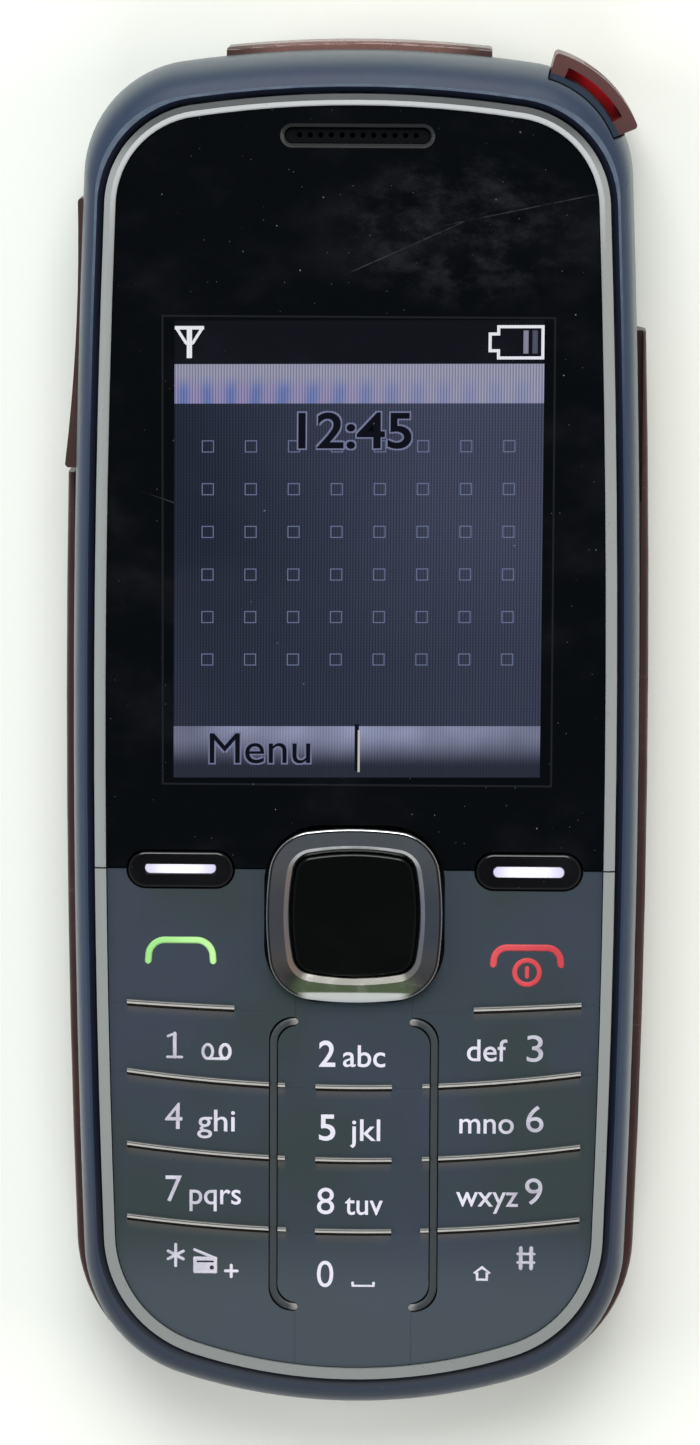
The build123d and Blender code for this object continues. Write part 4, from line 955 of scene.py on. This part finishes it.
class PHONE_OT_navigation(bpy.types.Operator):
    """Chrome the navigation ring and finish its key and plate"""

    bl_idname = "phone.navigation"
    bl_label = "Navigation"

    def execute(self, context):
        dress(self.ring(), "navi_ring")
        dress(self.key(context.scene.phone_window), "navi_key")
        dress(moulded("navi_plate", srgb(24, 25, 27), 0.5), "navi_plate")
        return {"FINISHED"}

    def ring(self):
        """Chrome with painted reflections: bluish across the middle, warm below it and a pale strip at
        its foot.
        """
        finish = Finish("navi_chrome", Metallic=1.0)
        prints = finish.step(finish.noise(0.5, 4, 0.65), 0.4, 0.75)
        fine = finish.noise(9, 2)
        tone = finish.shade(srgb(196, 198, 200), prints * 0.4)
        finish.bump(finish.noise(0.35, 1), 0.02)
        low, high = (corner.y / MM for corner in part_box("navi_ring"))
        down = finish.y - (low + high) / 2
        foot = finish.step(finish.y, low + 0.85, low + 0.7) * finish.step(abs(finish.x), 4.6, 3.4)
        # the bluish and warm tints are painted reflections of the room, and the pale strip at the foot a
        # painted reflection of the lamp
        tone = finish.tint(
            tone,
            (finish.within(down, -2.8, 2.4, 1.4) * 0.35, srgb(120, 132, 160)),
            (finish.step(down, -1.8, -4.0) * 0.5, srgb(190, 178, 164)),
            (foot, srgb(196, 200, 200)),
        )
        return finish.done(tone, 0.1 + prints * 0.1 + fine * 0.03, Metallic=1.0 - foot * 0.7)

    def key(self, look):
        """Deep gloss black with a few prints and hardly any dust."""
        finish = Finish("navi_key_gloss", Specular_IOR_Level=0.3)
        prints = smears(finish)
        lint = finish.specks(1.15, 0.06, look.dust * 0.3)
        tone = finish.mix(prints * 0.3, srgb(8, 9, 9), srgb(30, 32, 33))
        tone = finish.mix(lint * 0.3, tone, srgb(90, 92, 94))
        return finish.done(tone, 0.14 + prints * 0.2)


# Ends of the phone

# The middle that the eyelet's band bends round, and the way that the band runs at its own middle
BAND_MIDDLE = (12.3, 43.3)
BAND_RUN = (0.777, -0.629)
# The slot in the band: its radii round that middle, half its length, and its upper edge
SLOT_RADII = (8.04, 8.81)
SLOT_HALF = 3.0
SLOT_TOP = 10.2


class PHONE_OT_ends(bpy.types.Operator):
    """Finish the torch, the strap eyelet and the sockets"""

    bl_idname = "phone.ends"
    bl_label = "Ends"

    def execute(self, context):
        look = context.scene.phone_case
        dress(self.lens(look), "torch_lens")
        dress(self.eyelet(look), "strap_eyelet")
        dress(moulded("torch_led", srgb(236, 226, 150), 0.3, 0.002), "torch_led")
        dress(moulded("socket_plastic", srgb(24, 24, 26), 0.4), "headset_socket", "charger_socket")
        return {"FINISHED"}

    def lens(self, look):
        """Smoky translucent strip, darker towards its ends."""
        finish = Finish("lens_smoke", Transmission_Weight=0.35, IOR=1.5)
        ends = finish.step(abs(finish.x), 5.5, 9.8)
        clouds = finish.noise(0.5, 3)
        tone = finish.mix(ends, look.lens, srgb(84, 60, 58))
        finish.bump(finish.noise(4, 2), 0.004)
        return finish.done(finish.shade(tone, clouds * 0.4), 0.22 + clouds * 0.12)

    def eyelet(self, look):
        """Rose plastic with a slot painted deep red for the light that shines through it; nearest the
        cover it takes the cover's paint.
        """
        finish = Finish("eyelet_rose", Transmission_Weight=0.15, IOR=1.5)
        x, y = finish.x - BAND_MIDDLE[0], finish.y - BAND_MIDDLE[1]
        radius = (x * x + y * y).power(0.5)
        run = abs(x * BAND_RUN[0] + y * BAND_RUN[1])
        # the slot is painted deep red for the light that shines through the rose plastic: painted light
        inside = finish.within(radius, *SLOT_RADII, 0.03) * (finish.z < SLOT_TOP)
        inside *= finish.step(run, SLOT_HALF + 0.3, SLOT_HALF)
        clouds = finish.noise(0.6, 3)
        painted = finish.step(radius, SLOT_RADII[0] + 0.02, SLOT_RADII[0] - 0.04)
        tone = finish.mix(clouds, look.eyelet, srgb(82, 54, 53))
        tone = finish.tint(tone, (inside, look.slot), (painted, look.paint))
        finish.bump(finish.noise(5, 2), 0.004)
        return finish.done(tone, 0.28 + clouds * 0.14)


# Inside


class PHONE_OT_inside(bpy.types.Operator):
    """Finish the pieces inside the case"""

    bl_idname = "phone.inside"
    bl_label = "Inside"

    def execute(self, context):
        dress(self.board(), "main_board")
        dress(self.battery(), "battery")
        dress(self.flex(), "display_flex")
        dress(self.glass(), "lcd_panel")
        black = moulded("inner_black", srgb(34, 35, 37), 0.5)
        dress(black, "chassis", "side_switches", "antenna_carrier", "window_gasket")
        dress(moulded("chip_black", srgb(28, 28, 31), 0.38, 0.003), "board_chips")
        dress(self.speaker(), "loudspeaker", "earpiece_speaker")
        white = moulded("inner_white", srgb(226, 226, 220), 0.42)
        dress(white, "backlight_tray", "key_lights")
        steel = worked_metal("sheet_steel", srgb(186, 187, 190), 0.3)
        dress(steel, "shield_can_logic", "shield_can_radio", "sim_holder", "key_domes")
        turned = worked_metal("turned_steel", srgb(176, 177, 180), 0.26, math.pi / 2)
        dress(turned, "vibra_motor", "vibra_weight", "microphone", "screws")
        gold = worked_metal("contact_gold", srgb(214, 178, 96), 0.28, 0.5)
        dress(gold, "battery_contacts", "antenna_foil")
        return {"FINISHED"}

    def board(self):
        """Green board with lighter tracks and gold pads."""
        finish = Finish("board_green", Roughness=0.34)
        slanting = self.stripes(finish, finish.x + finish.y * 0.5, 1.1)
        tracks = slanting.either(self.stripes(finish, finish.y, 1.7))
        patches = finish.step(finish.noise(0.25, 2), 0.48, 0.52)
        pads = finish.specks(0.9, 0.2, 0.35)
        lines = tracks * patches
        tone = finish.tint(srgb(24, 74, 48), (lines, srgb(44, 104, 66)), (pads, srgb(198, 166, 92)))
        finish.bump(lines, 0.02)
        return finish.done(tone, Metallic=pads)

    def stripes(self, finish, value, pitch):
        """Narrow lines, one each pitch."""
        return finish.step(value.wave(pitch), 0.8, 0.95)

    def battery(self):
        """Foil-wrapped cell with a paler bare label and a dark end cap."""
        finish = Finish("battery_wrap")
        brushed = finish.noise(6, 2, place=finish.turned((0, 0, 0), (0.05, 1, 1)))
        label = finish.within(finish.x, -14.5, 14.5, 0.05) * finish.within(finish.y, -26.5, 14.5, 0.05)
        cap = finish.step(finish.y, 17.9, 18.0)
        tone = finish.tint(srgb(122, 125, 130), (label, srgb(206, 208, 208)), (cap, srgb(30, 30, 32)))
        finish.bump(brushed, 0.004)
        tone = finish.shade(tone, brushed * 0.25)
        foil = (1 - label) * (1 - cap)
        return finish.done(tone, 0.32 + label * 0.2 + brushed * 0.1, Metallic=foil * 0.6)

    def flex(self):
        """Amber film with copper lines."""
        finish = Finish("flex_amber", Roughness=0.32)
        lines = self.stripes(finish, finish.x, 0.55)
        tone = finish.mix(lines, srgb(176, 118, 40), srgb(206, 140, 84))
        return finish.done(finish.shade(tone, finish.noise(0.8, 3) * 0.3), Metallic=lines * 0.7)

    def glass(self):
        """Dark polarised glass."""
        finish = Finish("display_glass")
        clouds = finish.noise(0.3, 3)
        tone = finish.mix(clouds, srgb(40, 44, 54), srgb(58, 60, 70))
        return finish.done(tone, 0.06 + clouds * 0.08)

    def speaker(self):
        """Black housing with a woven dust cloth."""
        finish = Finish("speaker_cloth")
        thread = 0.3927
        weave = finish.x.wave(thread) * finish.y.wave(thread)
        tone = finish.mix(weave, srgb(20, 20, 22), srgb(52, 52, 56))
        finish.bump(weave, 0.03)
        return finish.done(tone, 0.6 + weave * 0.1)


# Display

PICTURE_RISE = 0.0073  # up for each millimetre to the right
PICTURE_LEAN = 0.0026  # right for each millimetre up
PICTURE_MIDDLE = (0.16, 14.88)
PICTURE_SIZE = (28.03, 35.04)
PIXEL = PICTURE_SIZE[0] / 128
# Lines across the picture, measured from its middle
BAR_HEAD = 14.22
BAR_FOOT = 11.22
SOFT_HEAD = -13.55
# Words: the letter that is measured, its height, and the words' width, middle and baseline
CLOCK_PLACE = ("5", 2.75, 8.6, -0.3, 7.85)
LABEL_PLACE = ("M", 2.3, 7.7, -7.4, -16.4)
UNLIT = (0.002, 0.002, 0.003)


class PHONE_OT_display(bpy.types.Operator):
    """Light the display: picture, icons, clock and soft key label"""

    bl_idname = "phone.display"
    bl_label = "Display"

    def execute(self, context):
        look = context.scene.phone_window
        low, high = print_on(WINDOW_TOP)
        sheet = self.block(*PICTURE_SIZE, low, high)
        self.lay("display_picture", sheet, self.picture(look))
        base, top = high - PRINT / 2, high + PRINT / 2
        signs = join([self.aerial(base, top), self.cell(base, top)])
        self.lay("display_signs", signs, self.lit("display_white", srgb(236, 236, 244)))
        # the two bars in the battery sign
        for name, left, right, colour in (
            ("display_charge", 12.42, 12.8, srgb(138, 134, 154)),
            ("display_spent", 13.1, 13.5, srgb(78, 82, 98)),
        ):
            self.lay(name, self.bar(left, right, 15.0, 16.75, base, top), self.lit(name, colour))
        dots = self.squares(base, top)
        self.lay("display_squares", dots, self.lit("display_pale", srgb(112, 124, 158), 0.6))
        halo = self.halo(look, base, top + PRINT / 2)
        self.lay("display_halo", halo, self.lit("display_halo", srgb(128, 132, 166), 0.4))
        words = self.words(look, base, top + PRINT * 1.5)
        self.lay("display_words", words, self.lit("display_ink", srgb(8, 10, 22), 0.2))
        return {"FINISHED"}

    def lay(self, name, mesh, material):
        """Turns a piece with the picture and puts it on the window."""
        mesh.transform(Matrix(((1, PICTURE_LEAN, 0), (PICTURE_RISE, 1, 0), (0, 0, 1))).to_4x4())
        mesh.transform(moved(*PICTURE_MIDDLE))
        add_piece(name, mesh, "handset", material)

    def block(self, wide, long, low, high, middle=(0, 0)):
        """A thin plate by its size, heights and middle."""
        solid = bmesh.new()
        place = moved(*middle, (low + high) / 2) @ sized(wide, long, high - low)
        bmesh.ops.create_cube(solid, size=1, matrix=place)
        return mesh_of(solid, "plate")

    def in_picture(self, finish):
        """The place across and along the picture, from its middle."""
        x = finish.x - PICTURE_MIDDLE[0]
        y = finish.y - PICTURE_MIDDLE[1]
        return x - y * PICTURE_LEAN, y - x * PICTURE_RISE

    def picture(self, look):
        """Status row, light bar, field and soft key bar, over upright pixel lines."""
        finish = Finish("display_picture", Roughness=0.16, Emission_Strength=1.0)
        x, y = self.in_picture(finish)
        lines = x.wave(PIXEL)
        rows = y.wave(PIXEL)
        cloud = finish.noise(0.07, 2)
        drift = finish.step(x + y * 0.3, -14, 12)
        lower = finish.step(y, 4, -9)
        field = finish.tint(
            srgb(30, 40, 54),
            (drift, srgb(78, 84, 108)),
            (lower * 0.6, srgb(52, 60, 78)),
            (cloud * 0.35, look.field),
        )
        field = finish.shade(field, lines * 0.85 + rows * 0.2, 0.4)
        bands = (x + (cloud - 0.5) * 1.89).wave(1.98)
        blue = finish.step(y, BAR_FOOT + 2.3, BAR_FOOT + 0.8)
        left = finish.step(x, 10, -8)
        bar = finish.tint(
            look.bar,
            (bands * blue * (0.25 + left * 0.5), srgb(86, 116, 190)),
            ((1 - bands) * blue * left * 0.4, srgb(150, 124, 196)),
        )
        bar = finish.shade(bar, lines * 0.8, 0.4)
        soft = finish.step(y, SOFT_HEAD - 3.2, SOFT_HEAD - 0.3)
        spots = (0.45 + finish.noise(0.3, 1) * 0.8) * (1 - abs(x) / 34)
        foot = finish.mix(soft * spots, srgb(40, 44, 58), srgb(160, 166, 198))
        foot = finish.shade(foot, lines * 0.5, 0.5)
        divider = finish.step(abs(x), 0.17, 0.15) * (y < SOFT_HEAD + 0.15) * (y > -17.0)
        glint = finish.within(x, 0.08, 0.24, 0.01) * (y < SOFT_HEAD - 0.3) * (y > -17.1)
        tone = finish.tint(
            field,
            (y > BAR_FOOT, bar),
            (y > BAR_HEAD, srgb(10, 12, 18)),
            (y < SOFT_HEAD, foot),
            (divider, srgb(6, 8, 18)),
            (glint, srgb(190, 188, 176)),
            (smears(finish) * 0.3, srgb(70, 74, 86)),
            (finish.specks(1.0, 0.09, 0.06) * 0.5, srgb(150, 154, 168)),
        )
        return finish.done(UNLIT, Emission_Color=tone)

    def lit(self, name, colour, strength=1.0):
        """Lit lines of the picture, crossed by its pixel lines."""
        finish = Finish(name, Roughness=0.16, Emission_Strength=1.0)
        lines = self.in_picture(finish)[0].wave(PIXEL)
        tone = finish.shade(colour, lines * 0.3 + finish.noise(0.5, 2) * (1 - strength), 0.5)
        return finish.done(UNLIT, Emission_Color=tone)

    def bar(self, left, right, foot, head, low, high):
        """A plate by its edges."""
        return self.block(right - left, head - foot, low, high, ((left + right) / 2, (foot + head) / 2))

    def aerial(self, low, high):
        """The aerial sign: a triangle of lines on a stem."""
        left, right, head, foot = -14.0, -11.78, 17.12, 14.68
        stem = (left + right) / 2
        line = 0.27
        parts = [
            self.bar(left, right, head - line, head, low, high),
            self.bar(stem - 0.2, stem + 0.2, foot, head, low, high - PRINT / 8),
        ]
        for corner, tip in ((left + 0.16, stem - 0.25), (right - 0.16, stem + 0.25)):
            slope = [(corner, head - 0.2), (tip, head - 1.3)]
            parts.append(stroke_mesh(slope, line, low, high - PRINT / 4))
        return join(parts)

    def cell(self, low, high):
        """The battery sign's outline: a long box with a nub on its left."""
        left, nub, right, head, foot, line = 9.78, 10.42, 14.0, 17.15, 14.55, 0.23
        path = (
            (right, head),
            (right, foot),
            (nub, foot),
            (nub, foot + 0.55),
            (left, foot + 0.55),
            (left, head - 0.55),
            (nub, head - 0.55),
            (nub, head),
        )
        edge = bmesh.new()
        corners = [edge.verts.new((x * MM, y * MM, low * MM)) for x, y in path]
        whole = bmesh.ops.contextual_create(edge, geom=corners)["faces"]
        even = {"use_even_offset": True, "use_boundary": True}
        bmesh.ops.inset_region(edge, faces=whole, thickness=line * MM, **even)
        bmesh.ops.delete(edge, geom=whole, context="FACES_ONLY")
        return self.raised(edge, high - low)

    def raised(self, flat, tall):
        """A flat pattern of faces made a solid."""
        grown = bmesh.ops.extrude_face_region(flat, geom=flat.faces[:], use_keep_orig=True)
        tops = [item for item in grown["geom"] if isinstance(item, bmesh.types.BMVert)]
        bmesh.ops.translate(flat, verts=tops, vec=(0, 0, tall * MM))
        bmesh.ops.recalc_face_normals(flat, faces=flat.faces)
        return mesh_of(flat, "raised")

    def squares(self, low, high):
        """The field's faint pattern of small open squares."""
        pattern = bmesh.new()
        pitch = 3.27
        one_face = {"x_segments": 1, "y_segments": 1, "size": 0.46 * MM}
        for row in range(6):
            for column in range(8):
                place = moved(-11.46 + pitch * column, 7.95 - pitch * row, low)
                bmesh.ops.create_grid(pattern, matrix=place, **one_face)
        inner = bmesh.ops.inset_individual(pattern, faces=pattern.faces, thickness=0.1 * MM)
        frames = set(inner["faces"])
        hearts = [face for face in pattern.faces if face not in frames]
        bmesh.ops.delete(pattern, geom=hearts, context="FACES_ONLY")
        return self.raised(pattern, high - low)

    def words(self, look, low, high, shift=(0, 0)):
        """The clock and the left soft key's label."""
        clock = set_words(look.clock, *CLOCK_PLACE, low, high, 0.016)
        label = set_words(look.label, *LABEL_PLACE, low, high, 0.0)
        words = join([clock, label])
        words.transform(moved(*shift))
        return words

    def halo(self, look, low, high):
        """The words' pale edge: four copies, each moved a little another way."""
        reach = 0.11
        shifts = ((reach, -reach), (-reach, reach), (-reach, -reach), (reach, reach))
        tops = [high + lift * PRINT / 12 for lift in range(len(shifts))]
        return join([self.words(look, low, top, shift) for top, shift in zip(tops, shifts)])


# Stage

# The photograph: its height in pixels, its pixels per millimetre at the target, and its shift in pixels
PHOTO_TALL = 1445
PHOTO_SCALE = 13.081
PHOTO_SHIFT = (-5.08, 19.7)
TARGET = (0, 0.12, 13.2)
SENSOR = 36.0


class PHONE_OT_stage(bpy.types.Operator):
    """Set the pale floor, the soft lamps and the camera"""

    bl_idname = "phone.stage"
    bl_label = "Stage"

    def execute(self, context):
        look = context.scene.phone_stage
        self.floor(look)
        self.sky(context.scene)
        self.lamps(look)
        self.camera(context.scene, look)
        context.scene.view_settings.view_transform = "Standard"
        return {"FINISHED"}

    def floor(self, look):
        """A pale sheet that the phone lies on."""
        sheet = bmesh.new()
        bmesh.ops.create_grid(sheet, x_segments=1, y_segments=1, size=1.5)
        bmesh.ops.translate(sheet, verts=sheet.verts, vec=(0, 0, -0.02 * MM))
        mesh = mesh_of(sheet, "floor")
        finish = Finish("floor_paper", Roughness=0.9)
        fine = finish.noise(2.5, 4)
        tone = finish.shade(look.floor, fine * 0.08 + finish.noise(0.02, 2) * 0.06)
        mesh.materials.append(finish.done(tone))
        floor = bpy.data.objects.new("floor", mesh)
        bpy.context.scene.collection.objects.link(floor)

    def sky(self, scene):
        """A soft room: pale round the horizon, dark overhead, with a window beyond the top end."""
        world = bpy.data.worlds.new("studio")
        world.use_nodes = True
        scene.world = world
        room = Nodes(world.node_tree)
        x, y, z = room.split(room.node("ShaderNodeTexCoord", output="Generated"))
        levels = (
            (0.0, (0.88, 0.89, 0.88)),
            (0.12, (0.84, 0.85, 0.85)),
            (0.24, (0.50, 0.51, 0.52)),
            (0.5, (0.28, 0.29, 0.31)),
            (0.9, (0.11, 0.115, 0.125)),
            (0.975, (0.022, 0.025, 0.030)),
        )
        level = room.node("ShaderNodeValToRGB", {"stops": levels}, {"Fac": z})
        above = room.step(z, 0.12, 0.24)
        dim = above * room.step(z, 0.97, 0.93)
        garden = room.within(y, 0.17, 0.42, 0.03) * room.step(z, 0.85, 0.9)
        garden *= room.within(x, -0.3, 0.4, 0.04)
        window = room.within(y, 0.78, 0.94, 0.03) * room.within(z, 0.2, 0.6, 0.04)
        level = room.tint(
            level,
            (dim * room.step(y, 0.5, -0.6) * 0.5, (0.12, 0.14, 0.16)),
            (above * room.step(x, 0.2, 0.9) * 0.6, (0.30, 0.20, 0.14)),
            (above * room.step(x, -0.2, -0.9) * 0.5, (0.08, 0.10, 0.13)),
            (garden * 0.8, (0.14, 0.22, 0.11)),
            (window * 0.8, (0.86, 0.90, 0.86)),
        )
        room.feed(world.node_tree.nodes["Background"].inputs["Color"], level)

    def lamps(self, look):
        """A large main lamp beyond the top end and weaker ones on the other sides."""
        lamps = (  # power in watts, place and size in metres, colour
            ("main_lamp", look.main_power, (-0.03, 0.74, 0.86), 0.74, (1, 0.995, 0.98)),
            ("left_lamp", look.side_power * 1.5, (-0.92, 0.07, 0.5), 0.6, (1, 1, 1)),
            ("right_lamp", look.side_power * 1.2, (0.92, 0.0, 0.5), 0.6, (1, 0.96, 0.92)),
            ("foot_lamp", look.side_power * 1.2, (0.0, -0.9, 0.69), 0.74, (0.97, 0.99, 1)),
        )
        for name, power, place, size, colour in lamps:
            lamp = bpy.data.lights.new(name, "AREA")
            lamp.energy = power
            lamp.size = size
            lamp.color = colour
            holder = bpy.data.objects.new(name, lamp)
            holder.visible_glossy = name == "main_lamp"  # the others would glare in the chrome
            holder.location = place
            holder.rotation_euler = Vector(place).to_track_quat("Z", "Y").to_euler()
            bpy.context.scene.collection.objects.link(holder)

    def camera(self, scene, look):
        """The photograph's view: nearly straight down, from a little beyond the top end."""
        target = Vector(TARGET) * MM
        flat = math.cos(look.tilt)
        back = Vector((math.sin(look.yaw) * flat, math.sin(look.tilt), math.cos(look.yaw) * flat))
        right = Vector((0, 1, 0)).cross(back).normalized()
        up = back.cross(right)
        turned = Matrix((right, up, back)).transposed() @ Matrix.Rotation(look.roll, 3, "Z")
        lens = bpy.data.cameras.new("camera")
        lens.sensor_fit = "VERTICAL"
        lens.sensor_height = SENSOR
        lens.lens = PHOTO_SCALE * look.distance / PHOTO_TALL * SENSOR
        lens.shift_x, lens.shift_y = (shift / PHOTO_TALL for shift in PHOTO_SHIFT)
        lens.clip_start = 0.01
        holder = bpy.data.objects.new("camera", lens)
        holder.matrix_world = Matrix.Translation(target + back * look.distance * MM) @ turned.to_4x4()
        scene.collection.objects.link(holder)
        scene.camera = holder


# Panel and registration

OPERATORS = (
    PHONE_OT_case,
    PHONE_OT_trim,
    PHONE_OT_window,
    PHONE_OT_keypad,
    PHONE_OT_joints,
    PHONE_OT_legends,
    PHONE_OT_navigation,
    PHONE_OT_ends,
    PHONE_OT_inside,
    PHONE_OT_display,
    PHONE_OT_stage,
)
LOOKS = {
    "phone_case": PhoneCaseLook,
    "phone_keypad": PhoneKeypadLook,
    "phone_window": PhoneWindowLook,
    "phone_stage": PhoneStageLook,
}


class PHONE_PT_sidebar(bpy.types.Panel):
    """Lists the phone's operators and looks"""

    bl_idname = "PHONE_PT_sidebar"
    bl_label = "Feature Phone"
    bl_space_type = "VIEW_3D"
    bl_region_type = "UI"
    bl_category = "Phone"

    def draw(self, context):
        for operator in OPERATORS:
            self.layout.operator(operator.bl_idname)
        for name, group in LOOKS.items():
            box = self.layout.box()
            for field in group.__annotations__:
                box.prop(getattr(context.scene, name), field)


def register():
    for group in LOOKS.values():
        bpy.utils.register_class(group)
    for name, group in LOOKS.items():
        setattr(bpy.types.Scene, name, bpy.props.PointerProperty(type=group))
    for shown in (*OPERATORS, PHONE_PT_sidebar):
        bpy.utils.register_class(shown)


def unregister():
    for shown in (PHONE_PT_sidebar, *reversed(OPERATORS)):
        bpy.utils.unregister_class(shown)
    for name, group in LOOKS.items():
        delattr(bpy.types.Scene, name)
        bpy.utils.unregister_class(group)


def main():
    register()
    bpy.ops.phone.case()
    bpy.ops.phone.trim()
    bpy.ops.phone.window()
    bpy.ops.phone.keypad()
    bpy.ops.phone.joints()
    bpy.ops.phone.legends()
    bpy.ops.phone.navigation()
    bpy.ops.phone.ends()
    bpy.ops.phone.inside()
    bpy.ops.phone.display()
    bpy.ops.phone.stage()


if __name__ == "__main__":
    main()
